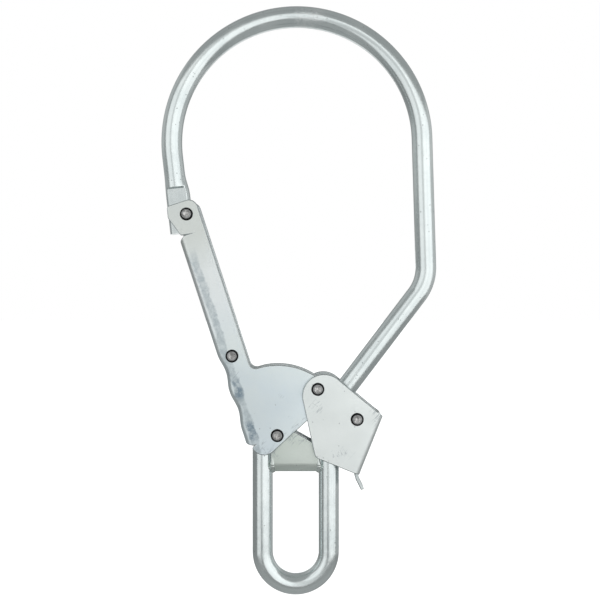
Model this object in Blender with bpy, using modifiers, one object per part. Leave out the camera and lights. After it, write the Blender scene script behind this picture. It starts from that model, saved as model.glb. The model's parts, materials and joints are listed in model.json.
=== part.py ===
"""Large-opening safety hook: a bent round rod, a folded gate and a folded locking lever.

Metres, +Z up. X runs across the hook and Y through its thickness, with the front at -Y.
The origin is the seat of the bow, where the load meets the inside of the rod.
"""

import math

import bmesh
import bpy
from mathutils import Matrix, Vector

MM = 0.001

# Rod: bow, straight, diagonal, legs and eye.
ROD_DIAMETER = 12.0 * MM
BOW_INNER_RADIUS = 67.2 * MM
NOSE_SWEEP = math.radians(6.5)
STRAIGHT_FLARE = math.radians(1.7)
UPPER_BEND_Z = -149.1 * MM
LOWER_BEND_Z = -224.3 * MM
BEND_RADIUS = 26.0 * MM
EYE_X = -0.7 * MM
EYE_INNER_WIDTH = 26.6 * MM
EYE_CENTRE_Z = -306.1 * MM
LEFT_LEG_TOP_Z = -246.3 * MM

# Flattened nose.
NOSE_STRAIGHT = 19.3 * MM
NOSE_LENGTH = 25.8 * MM
NOSE_THICKNESS = 7.5 * MM
NOSE_OUTER = 6.6 * MM
NOSE_INNER = 8.0 * MM
NOSE_EDGE_ROUND = 1.5 * MM
NOSE_OVERLAP = 8.0 * MM
NOSE_PIN_RISE = 10.5 * MM
NOSE_PIN_INSET = 5.3 * MM

# Sheet and clearances.
SHEET = 2.0 * MM
BRACKET_SHEET = 2.5 * MM
SIDE_PLAY = 0.5 * MM
RUNNING_PLAY = 0.3 * MM
MATE_GAP = 0.3 * MM
CUT_OVERRUN = 3.0 * MM
LEDGE = 0.05 * MM
BEND_OVERLAP = 0.03 * MM

# Rivets, sleeves and bushes.
SHANK_DIAMETER = 5.0 * MM
HEAD_DIAMETER = 7.5 * MM
HEAD_HEIGHT = 1.2 * MM
HEAD_EDGE = 0.4 * MM
DIMPLE_DIAMETER = 3.6 * MM
DIMPLE_DEPTH = 0.35 * MM
SLEEVE_DIAMETER = 8.0 * MM

# Gate, drawn upright about its pivot: across, then along the gate.
GATE_PIVOT_SETOFF = -10.6 * MM
GATE_PIVOT_DROP = 13.1 * MM
GATE_BEND = 4.5 * MM
SPINE_ACROSS = -18.7 * MM
SPINE_BOTTOM = 1.8 * MM
INNER_EDGE = -2.6 * MM
PIN_ACROSS = -10.0 * MM
HEAD_ABOVE_PIN = 7.7 * MM
HEAD_LEFT = -20.9 * MM
HEAD_SLANT = 1.5 * MM
SHOULDER_ABOVE_PIN = 1.2 * MM
THROAT_ACROSS = -16.4 * MM
THROAT_BELOW_PIN = 11.9 * MM
SPINE_BELOW_PIN = 14.9 * MM
HEAD_CORNER = 5.0 * MM
HEAD_EDGE_ROUND = 2.0 * MM
FAN_CLEARANCE = 6.3 * MM
FAN_START = math.radians(83.0)
FAN_BEYOND_LOCK = math.radians(14.3)
FAN_CONCAVE = 4.0 * MM
LOBE_CENTRE = (-8.3 * MM, -1.2 * MM)
LOBE_RADIUS = 7.7 * MM
LOBE_END = math.radians(-172.0)
GRIP_PITCH = 22.8 * MM
GRIP_DEPTH = 1.6 * MM
GRIP_UPPER_DIP = 43.5 * MM
GRIP_DIPS = 2
TIE_ALONG = 51.5 * MM
TIE_PLAY = 0.6 * MM
LOCK_NOTCH_PLAY = 0.6 * MM

# Lever, drawn upright about its pivot, its spine on the right.
LEVER_PIVOT_OFF_ROD = 9.9 * MM
LEVER_PIVOT_DROP = 3.5 * MM
LEVER_LEAN = math.radians(21.9)
LEVER_BEND = 2.6 * MM
LEVER_SPINE = 12.4 * MM
LEVER_TOP = 7.0 * MM
LEVER_BOTTOM = -29.3 * MM
LEVER_LOBE_CENTRE = (-22.5 * MM, 5.3 * MM)
LEVER_LOBE_RADIUS = 12.5 * MM
LEVER_LOBE_TOP = math.radians(69.5)
LEVER_LOBE_LEFT = math.radians(215.0)
LEVER_CORNER = (-14.1 * MM, 4.0 * MM)
LOCK_RIVET = (-27.3 * MM, 7.6 * MM)
TAIL_TIP = (17.9 * MM, -36.2 * MM)
TAIL_WIDTH = 12.0 * MM
TAIL_STEP = 0.5 * MM

# Bracket and ear.
BRACKET_BOTTOM_Z = -259.6 * MM
BOSS_RADIUS = 6.2 * MM
BRACKET_SLOPE = math.radians(29.2)
EAR_THICKNESS = 4.0 * MM
EAR_RADIUS = 7.2 * MM
EAR_ABOVE_BEND = 11.3 * MM
EAR_BELOW_BEND = 16.7 * MM
WELD_RADIUS = 1.7 * MM
WELD_SPREAD = math.radians(62.0)

# Springs.
WIRE_DIAMETER = 1.2 * MM
COIL_PITCH = 1.4 * MM
COIL_STEP = math.radians(22.5)
GATE_SPRING_TURNS = 3
LEVER_SPRING_TURNS = 2
GATE_SPRING_FOOT_X = 9.0 * MM
GATE_SPRING_REACH = 7.0 * MM
LEVER_SPRING_FOOT_DROP = 16.2 * MM
LEVER_SPRING_BRIDGE = -14.0 * MM

# Places that follow from the sizes above.
ROD_RADIUS = ROD_DIAMETER / 2
SHANK_RADIUS = SHANK_DIAMETER / 2
SLEEVE_RADIUS = SLEEVE_DIAMETER / 2
WIRE_RADIUS = WIRE_DIAMETER / 2
COIL_RADIUS = SLEEVE_RADIUS + RUNNING_PLAY + WIRE_RADIUS
RIVET_HOLE = SHANK_RADIUS + MATE_GAP
BUSH_HOLE = SLEEVE_RADIUS + RUNNING_PLAY
GATE_INNER_Y = ROD_RADIUS + SIDE_PLAY
GATE_OUTER_Y = GATE_INNER_Y + SHEET
LEVER_INNER_Y = GATE_OUTER_Y + RUNNING_PLAY
LEVER_OUTER_Y = LEVER_INNER_Y + SHEET
BOW_RADIUS = BOW_INNER_RADIUS + ROD_RADIUS
BOW_CENTRE = Vector((0.0, -BOW_INNER_RADIUS))
EYE_RADIUS = (EYE_INNER_WIDTH + ROD_DIAMETER) / 2
RIGHT_LEG_X = EYE_X + EYE_RADIUS
LEFT_LEG_X = EYE_X - EYE_RADIUS
NOSE_TOP = BOW_CENTRE - BOW_RADIUS * Vector((math.cos(NOSE_SWEEP), math.sin(NOSE_SWEEP)))
NOSE_STEP_Z = NOSE_TOP.y - NOSE_STRAIGHT
NOSE_END_Z = NOSE_STEP_Z - NOSE_LENGTH

GATE_PIVOT = Vector((EYE_X + GATE_PIVOT_SETOFF, 0.0, LOWER_BEND_Z - GATE_PIVOT_DROP))
PIN_Z = NOSE_END_Z + NOSE_PIN_RISE
PIN_X = NOSE_TOP.x + (NOSE_TOP.y - PIN_Z) * math.tan(NOSE_SWEEP) + NOSE_PIN_INSET
PIN_REACH = Vector((PIN_X, 0.0, PIN_Z)) - GATE_PIVOT
PIN_ALONG = math.sqrt(PIN_REACH.length_squared - PIN_ACROSS**2)
GATE_LEAN = math.atan2(PIN_ALONG, PIN_ACROSS) - math.atan2(PIN_REACH.z, PIN_REACH.x)
NOSE_RIVET = (PIN_ACROSS, PIN_ALONG)
TIE_RIVET = (SPINE_ACROSS + GRIP_DEPTH + SHEET + TIE_PLAY + SLEEVE_RADIUS, TIE_ALONG)
HEAD_TOP = PIN_ALONG + HEAD_ABOVE_PIN
SPINE_TOP = PIN_ALONG - SPINE_BELOW_PIN

LEVER_PIVOT = Vector(
    (RIGHT_LEG_X + ROD_RADIUS + LEVER_PIVOT_OFF_ROD, 0.0, LOWER_BEND_Z - LEVER_PIVOT_DROP)
)
LEVER_ARM = LEVER_PIVOT - GATE_PIVOT
FAN_RADIUS = LEVER_ARM.length - FAN_CLEARANCE
LOCK_ARM = Matrix.Rotation(LEVER_LEAN, 3, "Y") @ Vector((LOCK_RIVET[0], 0.0, LOCK_RIVET[1]))
LOCK_ON_GATE = Matrix.Rotation(-GATE_LEAN, 3, "Y") @ (LEVER_ARM + LOCK_ARM)

ROUND_STEPS = 32
ARC_STEP = math.radians(7.5)


def clear_scene():
    for old in list(bpy.data.objects):
        bpy.data.objects.remove(old, do_unlink=True)


def new_collection(name, hidden=False):
    collection = bpy.data.collections.new(name)
    bpy.context.scene.collection.children.link(collection)
    collection.hide_render = hidden
    return collection


def steel(name, colour, roughness):
    made = bpy.data.materials.new(name)
    made.use_nodes = True
    shader = made.node_tree.nodes["Principled BSDF"]
    shader.inputs["Base Color"].default_value = (*colour, 1.0)
    shader.inputs["Metallic"].default_value = 1.0
    shader.inputs["Roughness"].default_value = roughness
    return made


def pivot_frame(name, place, lean):
    """An empty on a joint's axis: what hangs from it is drawn upright about the pivot."""
    frame = bpy.data.objects.new(name, None)
    frame.location = place
    frame.rotation_euler = (0.0, lean, 0.0)
    PIECES.objects.link(frame)
    return frame


def add_piece(name, mesh, material, frame=None):
    made = bpy.data.objects.new(name, mesh)
    made.data.materials.clear()
    made.data.materials.append(material)
    made.parent = frame
    PIECES.objects.link(made)
    return made


def cut(piece, mesh, operation="DIFFERENCE"):
    """Cuts a piece with a mesh drawn in the piece's own frame."""
    tool = bpy.data.objects.new(piece.name + "_tool", mesh)
    tool.parent = piece.parent
    tool.display_type = "WIRE"
    tool.hide_render = True
    CUTTERS.objects.link(tool)
    modifier = piece.modifiers.new(operation.title(), "BOOLEAN")
    modifier.operation = operation
    modifier.solver = "EXACT"
    modifier.object = tool


def arc(centre, radius, start, end):
    """Points on an arc from one angle to another, both ends included."""
    steps = max(2, round(abs(end - start) / ARC_STEP))
    angles = [start + (end - start) * i / steps for i in range(steps + 1)]
    return [(centre[0] + radius * math.cos(a), centre[1] + radius * math.sin(a)) for a in angles]


def fillet(before, corner, after, radius):
    """Points of the arc that rounds one corner."""
    corner = Vector(corner)
    to_before = (Vector(before) - corner).normalized()
    to_after = (Vector(after) - corner).normalized()
    half = to_before.angle(to_after) / 2
    middle = corner + (to_before + to_after).normalized() * (radius / math.sin(half))
    start = corner + to_before * (radius / math.tan(half)) - middle
    end = corner + to_after * (radius / math.tan(half)) - middle
    first = math.atan2(start.y, start.x)
    turn = math.remainder(math.atan2(end.y, end.x) - first, math.tau)
    return arc(middle, radius, first, first + turn)


def rounded(corners, closed=True):
    """An outline from corners of (across, up) or (across, up, radius)."""
    points = []
    for i, corner in enumerate(corners):
        inside = closed or 0 < i < len(corners) - 1
        if len(corner) == 3 and inside:
            before = corners[i - 1][:2]
            after = corners[(i + 1) % len(corners)][:2]
            points += fillet(before, corner[:2], after, corner[2])
        else:
            points.append(corner[:2])
    return points


def mesh_of(curve_object):
    """The mesh of a curve object, its caps welded to its sides, with its turn applied."""
    bpy.context.view_layer.update()
    graph = bpy.context.evaluated_depsgraph_get()
    mesh = bpy.data.meshes.new_from_object(curve_object.evaluated_get(graph))
    mesh.transform(curve_object.matrix_world)
    shape = bmesh.new()
    shape.from_mesh(mesh)
    bmesh.ops.remove_doubles(shape, verts=shape.verts, dist=0.001 * MM)
    bmesh.ops.recalc_face_normals(shape, faces=shape.faces)
    shape.to_mesh(mesh)
    shape.free()
    bpy.data.objects.remove(curve_object, do_unlink=True)
    return mesh


def prism(outline, half_depth, middle=0.0):
    """A flat outline of (x, z) points, thickened along Y."""
    curve = bpy.data.curves.new("outline", "CURVE")
    curve.dimensions = "2D"
    curve.fill_mode = "BOTH"
    curve.extrude = half_depth
    spline = curve.splines.new("POLY")
    spline.points.add(len(outline) - 1)
    spline.use_cyclic_u = True
    for point, (x, z) in zip(spline.points, outline):
        point.co = (x, z, 0.0, 1.0)
    shape = bpy.data.objects.new("outline", curve)
    shape.matrix_world = Matrix.Translation((0.0, middle, 0.0)) @ Matrix.Rotation(math.pi / 2, 4, "X")
    PIECES.objects.link(shape)
    return mesh_of(shape)


def tube(route, radius, resolution=6):
    """A round bar along a route of (x, y, z) points."""
    curve = bpy.data.curves.new("route", "CURVE")
    curve.dimensions = "3D"
    curve.bevel_depth = radius
    curve.bevel_resolution = resolution
    curve.use_fill_caps = True
    spline = curve.splines.new("POLY")
    spline.points.add(len(route) - 1)
    for point, place in zip(spline.points, route):
        point.co = (*place, 1.0)
    shape = bpy.data.objects.new("route", curve)
    PIECES.objects.link(shape)
    return mesh_of(shape)


def box(x_range, y_range, z_range):
    """A box between pairs of limits."""
    low = Vector((x_range[0], y_range[0], z_range[0]))
    high = Vector((x_range[1], y_range[1], z_range[1]))
    mesh = bpy.data.meshes.new("box")
    shape = bmesh.new()
    place = Matrix.Translation((low + high) / 2) @ Matrix.Diagonal((*(high - low), 1.0))
    bmesh.ops.create_cube(shape, size=1.0, matrix=place)
    shape.to_mesh(mesh)
    shape.free()
    return mesh


def drills(places, radius, half_depth):
    """Round cutters along Y, one at each place, in one mesh."""
    mesh = bpy.data.meshes.new("drills")
    shape = bmesh.new()
    for x, z in places:
        turn = Matrix.Translation((x, 0.0, z)) @ Matrix.Rotation(math.pi / 2, 4, "X")
        bmesh.ops.create_cone(
            shape,
            cap_ends=True,
            segments=ROUND_STEPS,
            radius1=radius,
            radius2=radius,
            depth=2 * half_depth,
            matrix=turn,
        )
    shape.to_mesh(mesh)
    shape.free()
    return mesh


def loft(sections):
    """A closed solid through sections that have the same number of points."""
    mesh = bpy.data.meshes.new("loft")
    shape = bmesh.new()
    rings = [[shape.verts.new(point) for point in section] for section in sections]
    for ring, following in zip(rings, rings[1:]):
        for i in range(len(ring)):
            j = (i + 1) % len(ring)
            shape.faces.new((ring[i], ring[j], following[j], following[i]))
    shape.faces.new(rings[0])
    shape.faces.new(rings[-1])
    bmesh.ops.recalc_face_normals(shape, faces=shape.faces)
    shape.to_mesh(mesh)
    shape.free()
    return mesh


def turned(name, profile, material, place, frame, closed=False):
    """A turned piece from a profile of (radius, height), its top towards the front."""
    mesh = bpy.data.meshes.new(name)
    shape = bmesh.new()
    points = [shape.verts.new((radius, 0.0, height)) for radius, height in profile]
    for first, second in zip(points, points[1:]):
        shape.edges.new((first, second))
    if closed:
        shape.edges.new((points[-1], points[0]))
    shape.to_mesh(mesh)
    shape.free()
    piece = add_piece(name, mesh, material, frame)
    piece.location = (place[0], 0.0, place[1])
    piece.rotation_euler = (math.pi / 2, 0.0, 0.0)
    screw = piece.modifiers.new("Screw", "SCREW")
    screw.steps = ROUND_STEPS
    screw.render_steps = ROUND_STEPS
    screw.use_merge_vertices = True
    screw.merge_threshold = 0.001 * MM
    return piece


def head_profile(face):
    """The formed head on a face at this height: dimple, crown, rounded edge."""
    seat = face + MATE_GAP
    top = seat + HEAD_HEIGHT
    return [
        (0.0, top - DIMPLE_DEPTH),
        (DIMPLE_DIAMETER / 2 - HEAD_EDGE, top - DIMPLE_DEPTH),
        (DIMPLE_DIAMETER / 2, top),
        (HEAD_DIAMETER / 2 - HEAD_EDGE, top),
        (HEAD_DIAMETER / 2, top - HEAD_EDGE),
        (HEAD_DIAMETER / 2, seat),
        (SHANK_RADIUS, seat),
    ]


def rivet(name, place, frame, face):
    """A rivet closed over two outer faces at plus and minus this height."""
    half = head_profile(face)
    profile = half + [(radius, -height) for radius, height in reversed(half)]
    turned(name, profile, RIVET_STEEL, place, frame)


def lock_stud(name, side):
    """A short rivet in one plate of the lever, its shank flush inside."""
    profile = head_profile(LEVER_OUTER_Y) + [(SHANK_RADIUS, LEVER_INNER_Y), (0.0, LEVER_INNER_Y)]
    stud = turned(name, profile, RIVET_STEEL, LOCK_RIVET, LEVER_FRAME)
    stud.rotation_euler = (side * math.pi / 2, 0.0, 0.0)


def sleeve(name, place, frame, half_length):
    profile = [
        (SLEEVE_RADIUS, half_length),
        (SLEEVE_RADIUS, -half_length),
        (RIVET_HOLE, -half_length),
        (RIVET_HOLE, half_length),
    ]
    turned(name, profile, SLEEVE_STEEL, place, frame, closed=True)


def nose_point(height):
    """Where the nose's straight centre line reaches this height."""
    return Vector((NOSE_TOP.x + (NOSE_TOP.y - height) * math.tan(NOSE_SWEEP), height))


def upper_bend():
    """Where the centre lines of the straight and the diagonal meet."""
    top = BOW_CENTRE + BOW_RADIUS * Vector((math.cos(STRAIGHT_FLARE), math.sin(STRAIGHT_FLARE)))
    return top.x + (top.y - UPPER_BEND_Z) * math.tan(STRAIGHT_FLARE), UPPER_BEND_Z


def rod_route():
    """The rod's centre line, from the nose's step over the bow and round the eye."""
    bow = arc(BOW_CENTRE, BOW_RADIUS, math.pi + NOSE_SWEEP, STRAIGHT_FLARE)
    side = rounded(
        [
            bow[-1],
            (*upper_bend(), BEND_RADIUS),
            (RIGHT_LEG_X, LOWER_BEND_Z, BEND_RADIUS),
            (RIGHT_LEG_X, EYE_CENTRE_Z),
        ],
        closed=False,
    )
    eye = arc((EYE_X, EYE_CENTRE_Z), EYE_RADIUS, 0.0, -math.pi)
    flat = [tuple(nose_point(NOSE_STEP_Z))] + bow + side[1:-1] + eye + [(LEFT_LEG_X, LEFT_LEG_TOP_Z)]
    return [(x, 0.0, z) for x, z in flat]


def gate_to_world(across, along):
    turned_point = Matrix.Rotation(GATE_LEAN, 3, "Y") @ Vector((across, 0.0, along))
    return GATE_PIVOT + turned_point


def make_hook_rod():
    rod = add_piece("hook_rod", tube(rod_route(), ROD_RADIUS), ROD_STEEL)
    top = nose_point(NOSE_STEP_Z + NOSE_OVERLAP)
    bottom = nose_point(NOSE_END_Z)
    tongue = rounded(
        [
            (top.x - NOSE_OUTER + NOSE_EDGE_ROUND, top.y),
            (top.x - NOSE_OUTER, NOSE_STEP_Z, NOSE_EDGE_ROUND),
            (bottom.x - NOSE_OUTER, NOSE_END_Z, NOSE_EDGE_ROUND / 3),
            (bottom.x + NOSE_INNER, NOSE_END_Z, NOSE_EDGE_ROUND),
            (top.x + NOSE_INNER, NOSE_STEP_Z, NOSE_EDGE_ROUND),
            (top.x + NOSE_INNER - 2 * NOSE_EDGE_ROUND, top.y),
        ]
    )
    cut(rod, prism(tongue, NOSE_THICKNESS / 2), "UNION")
    pin = gate_to_world(*NOSE_RIVET)
    swing = Vector((pin.z - GATE_PIVOT.z, 0.0, GATE_PIVOT.x - pin.x)).normalized()
    lift = Vector((-swing.z, 0.0, swing.x))
    notch_half = SLEEVE_RADIUS + SIDE_PLAY
    reach = NOSE_OUTER + NOSE_INNER
    direction = math.atan2(swing.z, swing.x)
    notch = arc((pin.x, pin.z), notch_half, direction + math.pi / 2, direction + 3 * math.pi / 2)
    for side in (-1, 1):
        corner = pin + swing * reach + lift * notch_half * side
        notch.append((corner.x, corner.z))
    cut(rod, prism(notch, NOSE_THICKNESS))


def rod_clearance():
    """The rod's own shape with the gap that welded pieces keep to it, at its end too."""
    route = rod_route()
    x, y, z = route[-1]
    return tube([*route, (x, y, z + MATE_GAP)], ROD_RADIUS + MATE_GAP)


def bracket_section(radius, top_z, x):
    """The folded U seen along X, at one place across the hook."""
    middle_z = BRACKET_BOTTOM_Z + ROD_RADIUS
    bottom = arc((0.0, middle_z), radius, -math.pi, 0.0)
    points = [(-radius, top_z)] + bottom + [(radius, top_z)]
    return [(x, y, z) for y, z in points]


def bracket_outline():
    """The bracket seen from the front: boss round the pivot, sloping edge to the right leg."""
    left = GATE_PIVOT.x - BOSS_RADIUS
    normal = Vector((math.sin(BRACKET_SLOPE), math.cos(BRACKET_SLOPE)))
    reach = (BOSS_RADIUS + BOSS_RADIUS * normal.x) / normal.y
    boss_corner = GATE_PIVOT.z + reach
    right_z = boss_corner - (RIGHT_LEG_X - left) * math.tan(BRACKET_SLOPE)
    below = BRACKET_BOTTOM_Z - CUT_OVERRUN
    return rounded(
        [(left, below), (left, boss_corner, BOSS_RADIUS), (RIGHT_LEG_X, right_z), (RIGHT_LEG_X, below)]
    )


def make_bracket():
    top = GATE_PIVOT.z + BOSS_RADIUS + CUT_OVERRUN
    ends = (LEFT_LEG_X, RIGHT_LEG_X)
    blank = loft([bracket_section(ROD_RADIUS, top, x) for x in ends])
    bracket = add_piece("pivot_bracket", blank, BRACKET_STEEL)
    inner_ends = (LEFT_LEG_X - CUT_OVERRUN, RIGHT_LEG_X + CUT_OVERRUN)
    inner_radius = ROD_RADIUS - BRACKET_SHEET
    cut(bracket, loft([bracket_section(inner_radius, top + CUT_OVERRUN, x) for x in inner_ends]))
    cut(bracket, prism(bracket_outline(), 2 * ROD_RADIUS), "INTERSECT")
    cut(bracket, rod_clearance())
    cut(bracket, drills([(GATE_PIVOT.x, GATE_PIVOT.z)], BUSH_HOLE, 2 * ROD_RADIUS))


def make_weld(name, leg_x, side):
    """The bead round the bracket's bottom where it meets a leg."""
    middle_z = BRACKET_BOTTOM_Z + ROD_RADIUS
    x = leg_x + side * (ROD_RADIUS + WELD_RADIUS / 3)
    start = -math.pi / 2 - WELD_SPREAD
    end = -math.pi / 2 + WELD_SPREAD
    path = arc((0.0, middle_z), ROD_RADIUS + WELD_RADIUS / 2, start, end)
    bead = add_piece(name, tube([(x, y, z) for y, z in path], WELD_RADIUS, 3), BRACKET_STEEL)
    cut(bead, rod_clearance())
    ends = (LEFT_LEG_X, RIGHT_LEG_X)
    cut(bead, loft([bracket_section(ROD_RADIUS + MATE_GAP, GATE_PIVOT.z, x) for x in ends]))


def make_ear():
    """The lug on the rod's outer side that the lever turns on."""
    right = LEVER_PIVOT.x + EAR_RADIUS
    top_z = LOWER_BEND_Z + EAR_ABOVE_BEND
    upper = upper_bend()
    share = EAR_ABOVE_BEND / (upper[1] - LOWER_BEND_Z)
    outline = rounded(
        [
            (RIGHT_LEG_X, LOWER_BEND_Z),
            (RIGHT_LEG_X + (upper[0] - RIGHT_LEG_X) * share, top_z),
            (right, LEVER_PIVOT.z + EAR_RADIUS / 2, EAR_RADIUS / 2),
            (right, LEVER_PIVOT.z - EAR_RADIUS, EAR_RADIUS),
            (RIGHT_LEG_X, LOWER_BEND_Z - EAR_BELOW_BEND),
        ]
    )
    ear = add_piece("lever_ear", prism(outline, EAR_THICKNESS / 2), BRACKET_STEEL)
    cut(ear, rod_clearance())
    cut(ear, drills([(LEVER_PIVOT.x, LEVER_PIVOT.z)], BUSH_HOLE, EAR_THICKNESS))


def grip_dip(along):
    """How far the two finger dips set the gate's spine in at this height."""
    lowest = GRIP_UPPER_DIP - (GRIP_DIPS - 0.5) * GRIP_PITCH
    highest = GRIP_UPPER_DIP + 0.5 * GRIP_PITCH
    if not lowest < along < highest:
        return 0.0
    return GRIP_DEPTH / 2 * (1 + math.cos(math.tau * (along - GRIP_UPPER_DIP) / GRIP_PITCH))


def spine_heights():
    """Heights along the gate's spine, close together where the dips are."""
    dips_top = GRIP_UPPER_DIP + 0.5 * GRIP_PITCH
    count = round(12 * GRIP_DIPS)
    return [SPINE_BOTTOM + (dips_top - SPINE_BOTTOM) * i / count for i in range(count + 1)] + [SPINE_TOP]


def gate_outline():
    """The gate seen from the front, clockwise from its head."""
    lock_angle = math.atan2(LOCK_ON_GATE.z, LOCK_ON_GATE.x)
    fan = arc((0.0, 0.0), FAN_RADIUS, FAN_START, lock_angle - FAN_BEYOND_LOCK)
    corner = Vector(fan[-1]) - Vector(LOBE_CENTRE)
    tangent = math.atan2(corner.y, corner.x) - math.acos(LOBE_RADIUS / corner.length)
    lobe = arc(LOBE_CENTRE, LOBE_RADIUS, tangent, LOBE_END)
    spine = [(SPINE_ACROSS + grip_dip(along), along) for along in spine_heights()]
    head = [
        (THROAT_ACROSS, PIN_ALONG - THROAT_BELOW_PIN, HEAD_EDGE_ROUND / 2),
        (HEAD_LEFT, PIN_ALONG + SHOULDER_ABOVE_PIN, HEAD_EDGE_ROUND),
        (HEAD_LEFT + HEAD_SLANT, HEAD_TOP, HEAD_EDGE_ROUND),
        (INNER_EDGE, HEAD_TOP, HEAD_CORNER),
        (INNER_EDGE, FAN_RADIUS, FAN_CONCAVE),
    ]
    return rounded(head + fan + lobe + spine)


def bend_cutter(spine_face, heights, radius, half_width, outward, side):
    """What is outside a sheet's bend: a loft along the spine, for one side of a channel."""
    sections = []
    for along in heights:
        face = spine_face(along)
        middle = radius - BEND_OVERLAP
        section = []
        for x, y in arc((0.0, 0.0), radius, 0.0, math.pi / 2):
            section.append((face - outward * (middle - x), side * (half_width - middle + y), along))
        wide = side * (half_width + CUT_OVERRUN)
        beyond = face + outward * CUT_OVERRUN
        section += [
            (face - outward * middle, wide, along),
            (beyond, wide, along),
            (beyond, side * (half_width - middle), along),
        ]
        sections.append(section)
    return loft(sections)


def channel_cavity(inner_face, heights, radius, half_width, open_at, outward):
    """The inside of a channel: a loft with rounded corners at the spine, open on the other side."""
    sections = []
    for along in heights:
        face = inner_face(along)
        section = [(open_at, -half_width, along)]
        for side in (-1, 1):
            bend = arc((0.0, 0.0), radius, 0.0, math.pi / 2)
            if side < 0:
                bend.reverse()
            for x, y in bend:
                across = face - outward * (radius - x)
                section.append((across, side * (half_width - radius + y), along))
        section.append((open_at, half_width, along))
        sections.append(section)
    return loft(sections)


def spine_inside(along):
    """The inner face of the gate's spine, or clear of the gate where there is no spine."""
    if SPINE_BOTTOM <= along <= SPINE_TOP:
        return SPINE_ACROSS + grip_dip(along) + SHEET
    return HEAD_LEFT - CUT_OVERRUN


def make_gate():
    gate = add_piece("gate", prism(gate_outline(), GATE_OUTER_Y), GATE_STEEL, GATE_FRAME)
    heights = spine_heights()
    below = [-2 * LOBE_RADIUS, SPINE_BOTTOM - LEDGE]
    above = [SPINE_TOP + LEDGE, HEAD_TOP + CUT_OVERRUN]
    cut(
        gate,
        channel_cavity(
            spine_inside,
            below + heights + above,
            GATE_BEND - SHEET,
            GATE_INNER_Y,
            FAN_RADIUS + CUT_OVERRUN,
            -1,
        ),
    )
    for side in (-1, 1):
        cut(
            gate,
            bend_cutter(
                lambda along: SPINE_ACROSS + grip_dip(along),
                heights,
                GATE_BEND,
                GATE_OUTER_Y,
                -1,
                side,
            ),
        )
    cut(gate, drills([NOSE_RIVET, TIE_RIVET, (0.0, 0.0)], RIVET_HOLE, 2 * GATE_OUTER_Y))
    cut(gate, lock_notch())


def lock_notch():
    """The fan's notch for the lock studs, open along the path on which they lift out."""
    half = SHANK_RADIUS + LOCK_NOTCH_PLAY
    out = LOCK_ON_GATE.normalized()
    across = Vector((-out.z, 0.0, out.x))
    direction = math.atan2(out.z, out.x)
    middle = (LOCK_ON_GATE.x, LOCK_ON_GATE.z)
    notch = arc(middle, half, direction + math.pi / 2, direction + 3 * math.pi / 2)
    for side in (-1, 1):
        corner = out * (FAN_RADIUS + CUT_OVERRUN) + across * half * side
        notch.append((corner.x, corner.z))
    return prism(notch, 2 * GATE_OUTER_Y)


def lever_outline():
    """The lever seen from the front, clockwise from its spine's top, with the bent tail."""
    lobe = arc(LEVER_LOBE_CENTRE, LEVER_LOBE_RADIUS, LEVER_LOBE_LEFT, LEVER_LOBE_TOP)
    inner = LEVER_SPINE - SHEET + TAIL_STEP
    slant = Vector((TAIL_TIP[0] - LEVER_SPINE, TAIL_TIP[1] - LEVER_BOTTOM)).normalized()
    across = Vector((slant.y, -slant.x)) * SHEET
    return rounded(
        [
            (LEVER_SPINE, LEVER_TOP, 0.5 * MM),
            (LEVER_SPINE, LEVER_BOTTOM - TAIL_STEP, SHEET / 2),
            (TAIL_TIP[0], TAIL_TIP[1] - TAIL_STEP),
            (TAIL_TIP[0] + across.x, TAIL_TIP[1] - TAIL_STEP + across.y),
            (inner, LEVER_BOTTOM - 2 * TAIL_STEP),
            (inner, LEVER_BOTTOM),
            (LEVER_CORNER[0], LEVER_BOTTOM, LEVER_CORNER[1]),
            *lobe,
        ]
    )


def make_lever():
    lever = add_piece("lever", prism(lever_outline(), LEVER_OUTER_Y), LEVER_STEEL, LEVER_FRAME)
    open_left = LEVER_LOBE_CENTRE[0] - LEVER_LOBE_RADIUS - CUT_OVERRUN
    above = LEVER_LOBE_CENTRE[1] + LEVER_LOBE_RADIUS + CUT_OVERRUN
    below = TAIL_TIP[1] - CUT_OVERRUN
    cavity = channel_cavity(
        lambda along: LEVER_SPINE - SHEET, (below, above), LEVER_BEND - SHEET, LEVER_INNER_Y, open_left, 1
    )
    cut(lever, cavity)
    for side in (-1, 1):
        wide = sorted((side * TAIL_WIDTH / 2, side * (LEVER_OUTER_Y + CUT_OVERRUN)))
        across = (LEVER_CORNER[0], TAIL_TIP[0] + CUT_OVERRUN)
        cut(lever, box(across, wide, (below, LEVER_BOTTOM - TAIL_STEP)))
        cut(
            lever,
            bend_cutter(
                lambda along: LEVER_SPINE,
                (LEVER_BOTTOM - TAIL_STEP, above),
                LEVER_BEND,
                LEVER_OUTER_Y,
                1,
                side,
            ),
        )
    cut(lever, drills([LOCK_RIVET, (0.0, 0.0)], RIVET_HOLE, 2 * LEVER_OUTER_Y))


def coil_route(foot, hand, turns, y_start, y_end):
    """A wire from its foot, round a coil about the origin, to its hand, seen from the front."""
    foot_angle = math.atan2(foot[1], foot[0]) - math.acos(COIL_RADIUS / math.hypot(*foot))
    hand_angle = math.atan2(hand[1], hand[0]) + math.acos(COIL_RADIUS / math.hypot(*hand))
    sweep = (foot_angle - hand_angle) % math.tau + turns * math.tau
    steps = round(sweep / COIL_STEP)
    route = [(foot[0], y_start, foot[1])]
    for i in range(steps + 1):
        angle = foot_angle - sweep * i / steps
        y = y_start + (y_end - y_start) * i / steps
        route.append((COIL_RADIUS * math.cos(angle), y, COIL_RADIUS * math.sin(angle)))
    route.append((hand[0], y_end, hand[1]))
    return route


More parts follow.
